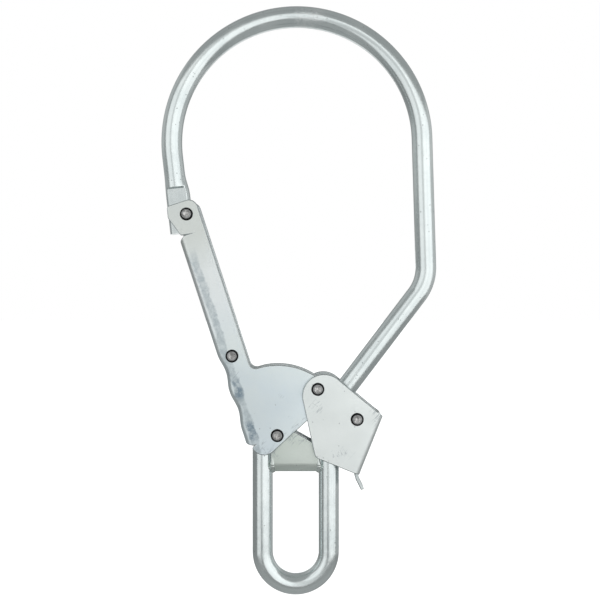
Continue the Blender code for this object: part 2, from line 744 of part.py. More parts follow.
def make_gate_spring():
    """Torsion spring on the pivot bush: foot on the bracket's floor, long arm behind the tie sleeve."""
    half = COIL_PITCH * GATE_SPRING_TURNS / 2
    lying = ROD_RADIUS - BRACKET_SHEET - MATE_GAP - WIRE_RADIUS
    floor = BRACKET_BOTTOM_Z + ROD_RADIUS - math.sqrt(lying**2 - half**2)
    foot = (GATE_SPRING_FOOT_X, floor - GATE_PIVOT.z)
    beside = SLEEVE_RADIUS + MATE_GAP + WIRE_RADIUS
    hand = gate_to_world(TIE_RIVET[0] + beside, TIE_RIVET[1] + GATE_SPRING_REACH) - GATE_PIVOT
    route = coil_route(foot, (hand.x, hand.z), GATE_SPRING_TURNS, half, -half)
    spring = add_piece("gate_spring", tube(route, WIRE_RADIUS, 2), SPRING_STEEL, GATE_FRAME)
    spring.rotation_euler = (0.0, -GATE_LEAN, 0.0)


def make_lever_spring():
    """Double torsion spring: feet on the rod, coils each side of the ear, bridge on the lever's spine."""
    inner_y = EAR_THICKNESS / 2 + MATE_GAP + WIRE_RADIUS
    outer_y = inner_y + COIL_PITCH * (LEVER_SPRING_TURNS + 0.5)
    rod_side = math.sqrt((ROD_RADIUS + MATE_GAP + WIRE_RADIUS) ** 2 - inner_y**2)
    foot = (RIGHT_LEG_X + rod_side - LEVER_PIVOT.x, -LEVER_SPRING_FOOT_DROP)
    across = LEVER_SPINE - SHEET - MATE_GAP - WIRE_RADIUS
    hand = Matrix.Rotation(LEVER_LEAN, 3, "Y") @ Vector((across, 0.0, LEVER_SPRING_BRIDGE))
    half = coil_route(foot, (hand.x, hand.z), LEVER_SPRING_TURNS, -inner_y, -outer_y)
    route = half + [(x, -y, z) for x, y, z in reversed(half)]
    spring = add_piece("lever_spring", tube(route, WIRE_RADIUS, 2), SPRING_STEEL, LEVER_FRAME)
    spring.rotation_euler = (0.0, -LEVER_LEAN, 0.0)


clear_scene()
PIECES = new_collection("safety_hook")
CUTTERS = new_collection("cutters", hidden=True)

ROD_STEEL = steel("rod_zinc", (0.66, 0.70, 0.70), 0.28)
GATE_STEEL = steel("gate_zinc", (0.60, 0.66, 0.67), 0.42)
LEVER_STEEL = steel("lever_zinc", (0.68, 0.71, 0.70), 0.42)
BRACKET_STEEL = steel("bracket_zinc", (0.50, 0.54, 0.50), 0.40)
RIVET_STEEL = steel("rivet_steel", (0.24, 0.24, 0.24), 0.35)
SLEEVE_STEEL = steel("sleeve_zinc", (0.55, 0.57, 0.57), 0.30)
SPRING_STEEL = steel("spring_steel", (0.32, 0.32, 0.33), 0.30)

GATE_FRAME = pivot_frame("gate_axis", GATE_PIVOT, GATE_LEAN)
LEVER_FRAME = pivot_frame("lever_axis", LEVER_PIVOT, LEVER_LEAN)

make_hook_rod()
make_bracket()
make_weld("left_weld", LEFT_LEG_X, 1)
make_weld("right_weld", RIGHT_LEG_X, -1)
make_ear()
make_gate()
make_lever()
rivet("nose_rivet", NOSE_RIVET, GATE_FRAME, GATE_OUTER_Y)
rivet("tie_rivet", TIE_RIVET, GATE_FRAME, GATE_OUTER_Y)
rivet("gate_pivot_rivet", (0.0, 0.0), GATE_FRAME, GATE_OUTER_Y)
rivet("lever_pivot_rivet", (0.0, 0.0), LEVER_FRAME, LEVER_OUTER_Y)
lock_stud("lock_rivet_front", 1)
lock_stud("lock_rivet_back", -1)
sleeve("nose_sleeve", NOSE_RIVET, GATE_FRAME, GATE_INNER_Y - MATE_GAP)
sleeve("tie_sleeve", TIE_RIVET, GATE_FRAME, GATE_INNER_Y - MATE_GAP)
sleeve("gate_pivot_bush", (0.0, 0.0), GATE_FRAME, GATE_INNER_Y - MATE_GAP)
sleeve("lever_pivot_sleeve", (0.0, 0.0), LEVER_FRAME, LEVER_INNER_Y - MATE_GAP)
make_gate_spring()
make_lever_spring()

for piece in PIECES.objects:
    if piece.type == "MESH":
        piece.data.shade_smooth()
        piece.data.set_sharp_from_angle(angle=math.radians(35.0))
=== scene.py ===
"""A large-opening scaffold hook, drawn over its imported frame."""

import json
import math

import bmesh
import bpy
from mathutils import Matrix, Vector


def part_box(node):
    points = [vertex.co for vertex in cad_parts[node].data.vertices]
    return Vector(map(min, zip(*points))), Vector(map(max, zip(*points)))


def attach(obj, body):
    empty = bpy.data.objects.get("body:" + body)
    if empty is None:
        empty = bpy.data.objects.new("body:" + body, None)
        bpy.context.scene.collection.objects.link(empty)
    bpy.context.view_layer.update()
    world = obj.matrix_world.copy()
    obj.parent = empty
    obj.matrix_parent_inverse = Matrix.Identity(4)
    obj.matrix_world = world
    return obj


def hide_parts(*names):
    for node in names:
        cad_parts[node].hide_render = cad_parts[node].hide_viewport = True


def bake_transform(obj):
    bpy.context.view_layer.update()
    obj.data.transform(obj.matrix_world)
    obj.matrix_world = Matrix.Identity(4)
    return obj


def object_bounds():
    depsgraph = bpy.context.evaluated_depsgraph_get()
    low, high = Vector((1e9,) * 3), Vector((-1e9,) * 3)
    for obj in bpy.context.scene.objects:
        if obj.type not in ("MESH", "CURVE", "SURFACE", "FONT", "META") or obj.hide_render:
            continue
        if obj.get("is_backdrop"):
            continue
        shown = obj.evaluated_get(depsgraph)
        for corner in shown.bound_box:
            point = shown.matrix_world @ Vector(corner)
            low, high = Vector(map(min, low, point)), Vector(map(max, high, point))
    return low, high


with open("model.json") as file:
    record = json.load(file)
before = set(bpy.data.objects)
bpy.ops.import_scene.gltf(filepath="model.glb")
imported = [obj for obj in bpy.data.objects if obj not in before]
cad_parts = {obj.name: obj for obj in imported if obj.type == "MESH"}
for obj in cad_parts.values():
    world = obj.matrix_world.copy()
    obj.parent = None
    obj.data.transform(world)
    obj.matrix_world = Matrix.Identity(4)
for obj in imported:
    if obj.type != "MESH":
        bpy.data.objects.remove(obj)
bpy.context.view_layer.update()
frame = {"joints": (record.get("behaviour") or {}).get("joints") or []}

# Sizes, in metres. Across is +X on the hook, along is up each folded piece's own spine.
MM = 0.001
JOINTS = {joint["name"]: Vector(joint["pos_m"]) for joint in frame["joints"]}
GATE_PIVOT = JOINTS["gate_hinge"]
LEVER_PIVOT = JOINTS["lever_hinge"]
ROD_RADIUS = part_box("hook_rod")[1].y

BOW_RADIUS = 73.2 * MM
BOW_CENTRE = Vector((0.0, -67.2 * MM))
NOSE_SWEEP = math.radians(6.5)
STRAIGHT_FLARE = math.radians(1.7)
UPPER_BEND_Z = -149.1 * MM
LOWER_BEND_Z = -224.3 * MM
BEND_RADIUS = 26 * MM
RIGHT_LEG_X = 18.6 * MM
LEFT_LEG_X = -20 * MM
LEFT_LEG_TOP_Z = -246.3 * MM
EYE_CENTRE = Vector((-0.7 * MM, -306.1 * MM))
EYE_RADIUS = 19.3 * MM

NOSE_TOP = BOW_CENTRE + BOW_RADIUS * Vector((-math.cos(NOSE_SWEEP), -math.sin(NOSE_SWEEP)))
NOSE_STEP_DROP = 19.3 * MM
NOSE_LENGTH = 25.8 * MM
NOSE_HALF_THICKNESS = 3.75 * MM
NOSE_OUTER_SPREAD = 0.06
NOSE_INNER_SPREAD = 0.27

GATE_OUTER_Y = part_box("gate")[1].y
LEVER_OUTER_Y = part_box("lever")[1].y
SHEET = 2 * MM
PUNCHED_EDGE = 0.5 * MM
PLATE_MARGIN = 0.4 * MM

PIN_Z = BOW_CENTRE.y - BOW_RADIUS * math.sin(NOSE_SWEEP) - (NOSE_STEP_DROP + NOSE_LENGTH) + 10.5 * MM
PIN_X = NOSE_TOP.x + (NOSE_TOP.y - PIN_Z) * math.tan(NOSE_SWEEP) + 5.3 * MM
PIN_ACROSS = -10 * MM
PIN_REACH = Vector((PIN_X, PIN_Z)) - Vector((GATE_PIVOT.x, GATE_PIVOT.z))
PIN_ALONG = math.sqrt(PIN_REACH.length_squared - PIN_ACROSS**2)
GATE_LEAN = math.atan2(PIN_ALONG, PIN_ACROSS) - math.atan2(PIN_REACH.y, PIN_REACH.x)
LEVER_LEAN = math.radians(21.9)

GATE_BEND = 3.9 * MM
SPINE_ACROSS = -18.7 * MM
SPINE_BOTTOM = 1.2 * MM
SPINE_TOP = PIN_ALONG - 14.2 * MM
GRIP_PITCH = 22.8 * MM
GRIP_DEPTH = 1.6 * MM
GRIP_UPPER_DIP = 43.5 * MM
HEAD_TOP = PIN_ALONG + 7.7 * MM
HEAD_LEFT = -20.9 * MM
INNER_EDGE = -2.6 * MM
LOBE_CENTRE = Vector((-8.3 * MM, -1.2 * MM))
LOBE_RADIUS = 7.7 * MM
TIE_ALONG = 51.5 * MM
NOSE_RIVET = (PIN_ACROSS, PIN_ALONG)
TIE_RIVET = (SPINE_ACROSS + SHEET + GRIP_DEPTH + 4.6 * MM, TIE_ALONG)

LEVER_BEND = 3.4 * MM
LEVER_SPINE = 13.3 * MM
LEVER_TOP = 7 * MM
LEVER_BOTTOM = -29.3 * MM
LEVER_LOBE_CENTRE = Vector((-22.5 * MM, 5.3 * MM))
LEVER_LOBE_RADIUS = 12.5 * MM
LEVER_CORNER = (-14.1 * MM, LEVER_BOTTOM, 4 * MM)
LOCK_RIVET = (-27.3 * MM, 7.6 * MM)
TAIL_TIP = Vector((19.3 * MM, -36.2 * MM))
TAIL_HALF_WIDTH = 6 * MM

RIVET_HOLE = 2.8 * MM
SHANK_RADIUS = 2.5 * MM
HEAD_RADIUS = 3.75 * MM
HEAD_HEIGHT = 1.35 * MM
SLEEVE_RADIUS = 4 * MM
SLEEVE_HOLE = SLEEVE_RADIUS + 0.3 * MM
FAN_CLEARANCE = 6.3 * MM
WIRE_RADIUS = 0.6 * MM
COIL_RADIUS = 4.9 * MM
COIL_PITCH = 1.4 * MM

BRACKET_SHEET = 2.5 * MM
BRACKET_BOTTOM_Z = -259.6 * MM
BRACKET_SLOPE = math.radians(29.2)
BOSS_RADIUS = 6.2 * MM
WELD_RADIUS = 1.75 * MM
WELD_SUNK = 0.9 * MM
EAR_HALF_THICKNESS = 2 * MM
EAR_RADIUS = 7.2 * MM

FINE_ARC = math.radians(2.5)


# Geometry of lines and arcs, in a flat (across, up) plane.


def arc(centre, radius, start, end, step=FINE_ARC):
    steps = max(3, round(abs(end - start) / step))
    angles = [start + (end - start) * i / steps for i in range(steps + 1)]
    return [(centre[0] + radius * math.cos(a), centre[1] + radius * math.sin(a)) for a in angles]


def fillet(before, corner, after, radius, step):
    corner = Vector(corner)
    to_before = (Vector(before) - corner).normalized()
    to_after = (Vector(after) - corner).normalized()
    half = to_before.angle(to_after) / 2
    middle = corner + (to_before + to_after).normalized() * (radius / math.sin(half))
    start = corner + to_before * (radius / math.tan(half)) - middle
    end = corner + to_after * (radius / math.tan(half)) - middle
    first = math.atan2(start.y, start.x)
    turn = math.remainder(math.atan2(end.y, end.x) - first, math.tau)
    return arc(middle, radius, first, first + turn, step)


def rounded(corners, closed=True, step=math.radians(7.5)):
    """An outline from corners of (across, up) or (across, up, radius)."""
    points = []
    for i, corner in enumerate(corners):
        inside = closed or 0 < i < len(corners) - 1
        if len(corner) == 3 and inside:
            before = corners[i - 1][:2]
            after = corners[(i + 1) % len(corners)][:2]
            points += fillet(before, corner[:2], after, corner[2], step)
        else:
            points.append(tuple(corner[:2]))
    return points


def round_hole(place, radius):
    return arc(place, radius, 0.0, math.tau - math.tau / 32, math.tau / 32)


def stood_at(pivot, lean):
    """Takes a shape drawn upright about its own pivot to its place on the hook."""
    return Matrix.Translation(pivot) @ Matrix.Rotation(lean, 4, "Y")


GATE_PLACE = stood_at(GATE_PIVOT, GATE_LEAN)
LEVER_PLACE = stood_at(LEVER_PIVOT, LEVER_LEAN)


def placed(place, across, along, y=0.0):
    return place @ Vector((across, y, along))


# Node helpers.


def new_node(tree, kind, inputs=None, **settings):
    """Adds a node; an input that is a socket is linked, and any other value is set."""
    made = tree.nodes.new(kind)
    for name, value in settings.items():
        setattr(made, name, value)
    for key, value in (inputs or {}).items():
        socket = made.inputs[key]
        if isinstance(value, bpy.types.NodeSocket):
            tree.links.new(value, socket)
        else:
            socket.default_value = value
    return made


def math_node(tree, operation, first, second=0.0):
    return new_node(tree, "ShaderNodeMath", {0: first, 1: second}, operation=operation).outputs[0]


def times(tree, first, second):
    return math_node(tree, "MULTIPLY", first, second)


def vector_node(tree, operation, first, second=(0.0, 0.0, 0.0), output=0):
    inputs = {0: first, 1: second}
    return new_node(tree, "ShaderNodeVectorMath", inputs, operation=operation).outputs[output]


def scaled(tree, vector, factor):
    inputs = {0: vector, "Scale": factor}
    return new_node(tree, "ShaderNodeVectorMath", inputs, operation="SCALE").outputs[0]


def attribute(tree, name, kind="FLOAT"):
    return new_node(tree, "GeometryNodeInputNamedAttribute", {"Name": name}, data_type=kind).outputs[0]


def shape_tree(name, sizes):
    """A Geometry Nodes tree with named size inputs, its group input and its geometry going in."""
    tree = bpy.data.node_groups.new(name, "GeometryNodeTree")
    tree.interface.new_socket("Geometry", in_out="INPUT", socket_type="NodeSocketGeometry")
    for label, (kind, value) in sizes.items():
        socket = tree.interface.new_socket(label, in_out="INPUT", socket_type="NodeSocket" + kind)
        if value is not None:
            socket.default_value = value
    tree.interface.new_socket("Geometry", in_out="OUTPUT", socket_type="NodeSocketGeometry")
    return tree, tree.nodes.new("NodeGroupInput").outputs


def close_tree(tree, geometry, finish):
    """Ends a tree: real geometry, smooth faces, its finish."""
    real = new_node(tree, "GeometryNodeRealizeInstances", {"Geometry": geometry}).outputs[0]
    smooth = new_node(tree, "GeometryNodeSetShadeSmooth", {"Geometry": real}).outputs[0]
    surfaced = new_node(tree, "GeometryNodeSetMaterial", {"Geometry": smooth, "Material": finish})
    end = tree.nodes.new("NodeGroupOutput")
    tree.links.new(surfaced.outputs[0], end.inputs[0])


def store(tree, geometry, name, value, kind):
    inputs = {"Geometry": geometry, "Name": name, "Value": value}
    stored = new_node(tree, "GeometryNodeStoreNamedAttribute", inputs, data_type=kind, domain="POINT")
    return stored.outputs[0]


def bar_tree():
    """A round bar along a path, with flats milled on both sides of its first stretch."""
    tree, sizes = shape_tree(
        "round_bar",
        {
            "Radius": ("Float", ROD_RADIUS),
            "Sides": ("Int", 64),
            "Flat Length": ("Float", 0.0),
            "Flat Half Thickness": ("Float", ROD_RADIUS),
            "Outer Spread": ("Float", 0.0),
            "Inner Spread": ("Float", 0.0),
            "Finish": ("Material", None),
        },
    )
    path = new_node(tree, "GeometryNodeMeshToCurve", {0: sizes["Geometry"]}).outputs[0]
    section = new_node(
        tree, "GeometryNodeCurvePrimitiveCircle", {"Resolution": sizes["Sides"], "Radius": sizes["Radius"]}
    ).outputs[0]
    bar = new_node(
        tree, "GeometryNodeCurveToMesh", {"Curve": path, "Profile Curve": section, "Fill Caps": True}
    ).outputs[0]
    core = attribute(tree, "core", "FLOAT_VECTOR")
    along = attribute(tree, "along")
    inward = attribute(tree, "inward", "FLOAT_VECTOR")
    place = new_node(tree, "GeometryNodeInputPosition").outputs[0]
    offset = vector_node(tree, "SUBTRACT", place, core)
    inside = vector_node(tree, "DOT_PRODUCT", offset, inward, output="Value")
    depth = new_node(tree, "ShaderNodeSeparateXYZ", {0: offset}).outputs["Y"]
    is_outer = math_node(tree, "LESS_THAN", inside, 0.0)
    gain = new_node(
        tree,
        "ShaderNodeMix",
        {"Factor": is_outer, "A": sizes["Inner Spread"], "B": sizes["Outer Spread"]},
        data_type="FLOAT",
    ).outputs[0]
    spread = new_node(
        tree,
        "ShaderNodeMapRange",
        {
            "Value": along,
            "From Min": math_node(tree, "SUBTRACT", sizes["Flat Length"], 4 * MM),
            "From Max": math_node(tree, "ADD", sizes["Flat Length"], 9 * MM),
            "To Min": 1.0,
            "To Max": 0.0,
        },
        interpolation_type="SMOOTHSTEP",
    ).outputs[0]
    wider = times(tree, inside, times(tree, gain, spread))
    on_flat = math_node(tree, "LESS_THAN", along, sizes["Flat Length"])
    limit = new_node(
        tree,
        "ShaderNodeMix",
        {"Factor": on_flat, "A": sizes["Radius"], "B": sizes["Flat Half Thickness"]},
        data_type="FLOAT",
    ).outputs[0]
    kept = new_node(
        tree,
        "ShaderNodeClamp",
        {"Value": depth, "Min": times(tree, limit, -1.0), "Max": limit},
    ).outputs[0]
    cut = math_node(tree, "SUBTRACT", kept, depth)
    change = new_node(tree, "ShaderNodeCombineXYZ", {"Y": cut}).outputs[0]
    shift = vector_node(tree, "ADD", scaled(tree, inward, wider), change)
    milled = new_node(tree, "GeometryNodeSetPosition", {"Geometry": bar, "Offset": shift}).outputs[0]
    grain = new_node(tree, "ShaderNodeCombineXYZ", {"X": along, "Y": inside, "Z": depth}).outputs[0]
    close_tree(tree, store(tree, milled, "grain", grain, "FLOAT_VECTOR"), sizes["Finish"])
    return tree


def bead_tree():
    """A run of weld: a bead along a path, rippled, lumpy, and thin at both ends."""
    tree, sizes = shape_tree(
        "weld_bead",
        {
            "Radius": ("Float", 2 * MM),
            "Ripple Pitch": ("Float", 1.2 * MM),
            "Ripple Depth": ("Float", 0.12),
            "Lumps": ("Float", 0.35 * MM),
            "Seed": ("Float", 3.0),
            "Finish": ("Material", None),
        },
    )
    path = new_node(tree, "GeometryNodeMeshToCurve", {0: sizes["Geometry"]}).outputs[0]
    section = new_node(
        tree, "GeometryNodeCurvePrimitiveCircle", {"Resolution": 28, "Radius": sizes["Radius"]}
    ).outputs[0]
    bead = new_node(
        tree, "GeometryNodeCurveToMesh", {"Curve": path, "Profile Curve": section, "Fill Caps": True}
    ).outputs[0]
    core = attribute(tree, "core", "FLOAT_VECTOR")
    place = new_node(tree, "GeometryNodeInputPosition").outputs[0]
    offset = vector_node(tree, "SUBTRACT", place, core)
    turns = math_node(tree, "DIVIDE", attribute(tree, "along"), sizes["Ripple Pitch"])
    wave = math_node(tree, "ABSOLUTE", math_node(tree, "SINE", times(tree, turns, math.pi)))
    ripple = times(tree, math_node(tree, "SUBTRACT", wave, 1.0), sizes["Ripple Depth"])
    size = times(tree, attribute(tree, "fullness"), math_node(tree, "ADD", ripple, 1.0))
    slimmer = scaled(tree, offset, math_node(tree, "SUBTRACT", size, 1.0))
    noise = new_node(
        tree,
        "ShaderNodeTexNoise",
        {"Vector": place, "W": sizes["Seed"], "Scale": 420.0, "Detail": 1.0},
        noise_dimensions="4D",
    ).outputs["Color"]
    centred = vector_node(tree, "SUBTRACT", noise, (0.5, 0.5, 0.5))
    lumps = scaled(tree, centred, sizes["Lumps"])
    shift = vector_node(tree, "ADD", slimmer, lumps)
    shaped = new_node(tree, "GeometryNodeSetPosition", {"Geometry": bead, "Offset": shift}).outputs[0]
    close_tree(tree, shaped, sizes["Finish"])
    return tree


def turned_tree():
    """A turned piece, from a profile of (radius, height), stood on every point at an angle of its own."""
    tree, sizes = shape_tree(
        "turned_on_points",
        {
            "Profile": ("Object", None),
            "Sides": ("Int", 64),
            "Seed": ("Int", 4),
            "Finish": ("Material", None),
        },
    )
    profile = new_node(tree, "GeometryNodeObjectInfo", {"Object": sizes["Profile"]}).outputs["Geometry"]
    counted = new_node(tree, "GeometryNodeAttributeDomainSize", {"Geometry": profile}, component="MESH")
    rows = counted.outputs[0]
    columns = math_node(tree, "ADD", sizes["Sides"], 1.0)
    grid = new_node(tree, "GeometryNodeMeshGrid", {"Vertices X": columns, "Vertices Y": rows}).outputs["Mesh"]
    index = new_node(tree, "GeometryNodeInputIndex").outputs[0]
    row = math_node(tree, "MODULO", index, rows)
    column = math_node(tree, "FLOOR", math_node(tree, "DIVIDE", index, rows))
    angle = times(tree, math_node(tree, "DIVIDE", column, sizes["Sides"]), math.tau)
    sampled = new_node(
        tree,
        "GeometryNodeSampleIndex",
        {
            "Geometry": profile,
            "Value": new_node(tree, "GeometryNodeInputPosition").outputs[0],
            "Index": row,
        },
        data_type="FLOAT_VECTOR",
        domain="POINT",
    ).outputs[0]
    parts = new_node(tree, "ShaderNodeSeparateXYZ", {0: sampled}).outputs
    place = new_node(
        tree,
        "ShaderNodeCombineXYZ",
        {
            "X": times(tree, parts["X"], math_node(tree, "COSINE", angle)),
            "Y": parts["Z"],
            "Z": times(tree, parts["X"], math_node(tree, "SINE", angle)),
        },
    ).outputs[0]
    turned = new_node(tree, "GeometryNodeSetPosition", {"Geometry": grid, "Position": place}).outputs[0]
    from_axis = vector_node(tree, "MULTIPLY", place, (1.0, 0.0, 1.0))
    radius = vector_node(tree, "LENGTH", from_axis, output="Value")
    marked = store(tree, turned, "from_axis", radius, "FLOAT")
    closed = new_node(
        tree, "GeometryNodeMergeByDistance", {"Geometry": marked, "Distance": 0.002 * MM}
    ).outputs[0]
    spin = new_node(
        tree,
        "FunctionNodeRandomValue",
        {"Min": (0.0, 0.0, 0.0), "Max": (0.0, math.tau, 0.0), "Seed": sizes["Seed"]},
        data_type="FLOAT_VECTOR",
    ).outputs[0]
    stood = new_node(
        tree,
        "GeometryNodeInstanceOnPoints",
        {"Points": sizes["Geometry"], "Instance": closed, "Rotation": spin},
    ).outputs[0]
    close_tree(tree, stood, sizes["Finish"])
    return tree


# Making pieces.


def new_piece(name, mesh, finish=None):
    if finish:
        mesh.materials.clear()
        mesh.materials.append(finish)
    made = bpy.data.objects.new(name, mesh)
    bpy.context.scene.collection.objects.link(made)
    return made


def made_plain(piece):
    """Makes a piece's modifiers real and takes them off."""
    graph = bpy.context.evaluated_depsgraph_get()
    mesh = bpy.data.meshes.new_from_object(
        piece.evaluated_get(graph), preserve_all_data_layers=True, depsgraph=graph
    )
    piece.modifiers.clear()
    piece.data = mesh
    mesh.name = piece.name
    return piece


def grown(name, mesh, tree, **sizes):
    """A mesh run through a Geometry Nodes tree, as a plain piece with its faces outwards."""
    piece = new_piece(name, mesh)
    modifier = piece.modifiers.new(tree.name, "NODES")
    modifier.node_group = tree
    for label, value in sizes.items():
        wanted = label.replace("_", " ").title()
        modifier[tree.interface.items_tree[wanted].identifier] = value
    made_plain(piece)
    shape = bmesh.new()
    shape.from_mesh(piece.data)
    bmesh.ops.recalc_face_normals(shape, faces=shape.faces)
    shape.to_mesh(piece.data)
    shape.free()
    return piece


def path_mesh(name, points, fullness=None):
    """A path with what the trees read on it: distance along, the line itself, and the inward side."""
    mesh = bpy.data.meshes.new(name)
    spots = [Vector(point) for point in points]
    mesh.from_pydata(spots, [(i, i + 1) for i in range(len(spots) - 1)], [])
    along = [0.0]
    for first, second in zip(spots, spots[1:]):
        along.append(along[-1] + (second - first).length)
    inward = []
    for i in range(len(spots)):
        run = spots[min(i + 1, len(spots) - 1)] - spots[max(i - 1, 0)]
        side = Vector((run.z, 0.0, -run.x))
        inward.append(side.normalized() if side.length > 1e-9 else Vector((1.0, 0.0, 0.0)))
    mesh.attributes.new("along", "FLOAT", "POINT").data.foreach_set("value", along)
    for label, values in (("core", spots), ("inward", inward)):
        flat = [number for value in values for number in value]
        mesh.attributes.new(label, "FLOAT_VECTOR", "POINT").data.foreach_set("vector", flat)
    if fullness:
        shares = [fullness(distance / along[-1]) for distance in along]
        mesh.attributes.new("fullness", "FLOAT", "POINT").data.foreach_set("value", shares)
    return mesh


def softened(piece, width, angle=38, segments=3, edge_slot=-1, clamped=True):
    """Rounds a piece's hard edges and keeps its flats flat; the rounds take the finish in edge_slot."""
    bevel = piece.modifiers.new("Edges", "BEVEL")
    bevel.width = width
    bevel.segments = segments
    bevel.limit_method = "ANGLE"
    bevel.angle_limit = math.radians(angle)
    bevel.harden_normals = True
    bevel.use_clamp_overlap = clamped
    bevel.material = edge_slot
    for face in piece.data.polygons:
        face.use_smooth = True
    return made_plain(piece)


def walled(piece, thickness):
    """Gives a folded shell its sheet, with finishes of their own for the cut edge and the inside."""
    for finish in (SHADE_PAINTED_CUT_EDGE, INSIDE_ZINC):
        piece.data.materials.append(finish)
    wall = piece.modifiers.new("Wall", "SOLIDIFY")
    wall.thickness = thickness
    wall.offset = -1.0
    wall.use_even_offset = True
    wall.material_offset_rim = 1
    wall.material_offset = 2
    made_plain(piece)
    softened(piece, PUNCHED_EDGE, edge_slot=1, clamped=False)


def cut_away(piece, tool, solver="EXACT"):
    cutter = new_piece("cutter", tool)
    modifier = piece.modifiers.new("Cut", "BOOLEAN")
    modifier.operation = "DIFFERENCE"
    modifier.solver = solver
    modifier.object = cutter
    made_plain(piece)
    bpy.data.objects.remove(cutter, do_unlink=True)


def prism(outline, half_depth):
    """A flat outline of (x, z) points, thickened along Y."""
    mesh = bpy.data.meshes.new("prism")
    shape = bmesh.new()
    front = [shape.verts.new((x, -half_depth, z)) for x, z in outline]
    back = [shape.verts.new((x, half_depth, z)) for x, z in outline]
    shape.faces.new(front)
    shape.faces.new(list(reversed(back)))
    for i in range(len(outline)):
        j = (i + 1) % len(outline)
        shape.faces.new((front[i], front[j], back[j], back[i]))
    bmesh.ops.recalc_face_normals(shape, faces=shape.faces)
    shape.to_mesh(mesh)
    shape.free()
    return mesh


def flat_fill(shape, loops):
    """Fills flat loops of vertices, the later ones being holes in the first."""
    edges = []
    for loop in loops:
        for i, vertex in enumerate(loop):
            pair = (vertex, loop[(i + 1) % len(loop)])
            edges.append(shape.edges.get(pair) or shape.edges.new(pair))
    bmesh.ops.triangle_fill(shape, use_beauty=True, use_dissolve=False, edges=edges)


def merge_flats(shape):
    """Joins the triangles of the flat plates into whole faces, so that their edges round cleanly."""
    flat = [
        edge
        for edge in shape.edges
        if len(edge.link_faces) == 2 and all(abs(face.normal.y) > 0.9999 for face in edge.link_faces)
    ]
    bmesh.ops.dissolve_limit(
        shape, angle_limit=math.radians(0.5), use_dissolve_boundaries=False, verts=[], edges=flat
    )


def folded_channel(name, rows, outline, holes, outer_y, bend, side, place, finish, tail=()):
    """A channel of folded sheet. Each row is (spine face, height at the spine, height on the plate)."""
    shape = bmesh.new()
    turns = 8
    steps = [
        (PLATE_MARGIN + bend, outer_y, 1.0),
        *[
            (bend * (1 - math.sin(a)), outer_y - bend * (1 - math.cos(a)), 1 - i / turns)
            for i, a in enumerate(math.pi / 2 * k / turns for k in range(turns + 1))
        ],
        (0.0, TAIL_HALF_WIDTH if tail else (outer_y - bend) / 2, 0.0),
    ]
    section = [(u, -y, t) for u, y, t in steps] + [(u, y, t) for u, y, t in reversed(steps)]
    grid = []
    for face, low, high in rows:
        grid.append([shape.verts.new((face - side * u, y, low + (high - low) * t)) for u, y, t in section])
    for row, following in zip(grid, grid[1:]):
        for i in range(len(section) - 1):
            shape.faces.new((row[i], row[i + 1], following[i + 1], following[i]))
    if tail:
        middle = len(section) // 2
        pair = [grid[0][middle - 1], grid[0][middle]]
        for u, v in tail:
            lower = [shape.verts.new((u, -TAIL_HALF_WIDTH, v)), shape.verts.new((u, TAIL_HALF_WIDTH, v))]
            shape.faces.new((pair[0], pair[1], lower[1], lower[0]))
            pair = lower
    for y, column in ((-outer_y, 0), (outer_y, -1)):
        edge = [row[column] for row in grid]
        around = [shape.verts.new((u, y, v)) for u, v in outline]
        loops = [edge + around]
        for hole in holes:
            loops.append([shape.verts.new((u, y, v)) for u, v in hole])
        flat_fill(shape, loops)
    bmesh.ops.recalc_face_normals(shape, faces=shape.faces)
    shape.faces.ensure_lookup_table()
    if shape.faces[len(section) // 2 - 1].normal.x * side < 0:
        bmesh.ops.reverse_faces(shape, faces=shape.faces)
    merge_flats(shape)
    mesh = bpy.data.meshes.new(name)
    shape.to_mesh(mesh)
    shape.free()
    piece = new_piece(name, mesh, finish)
    walled(piece, SHEET)
    piece.data.transform(place)
    return piece


# Finishes.


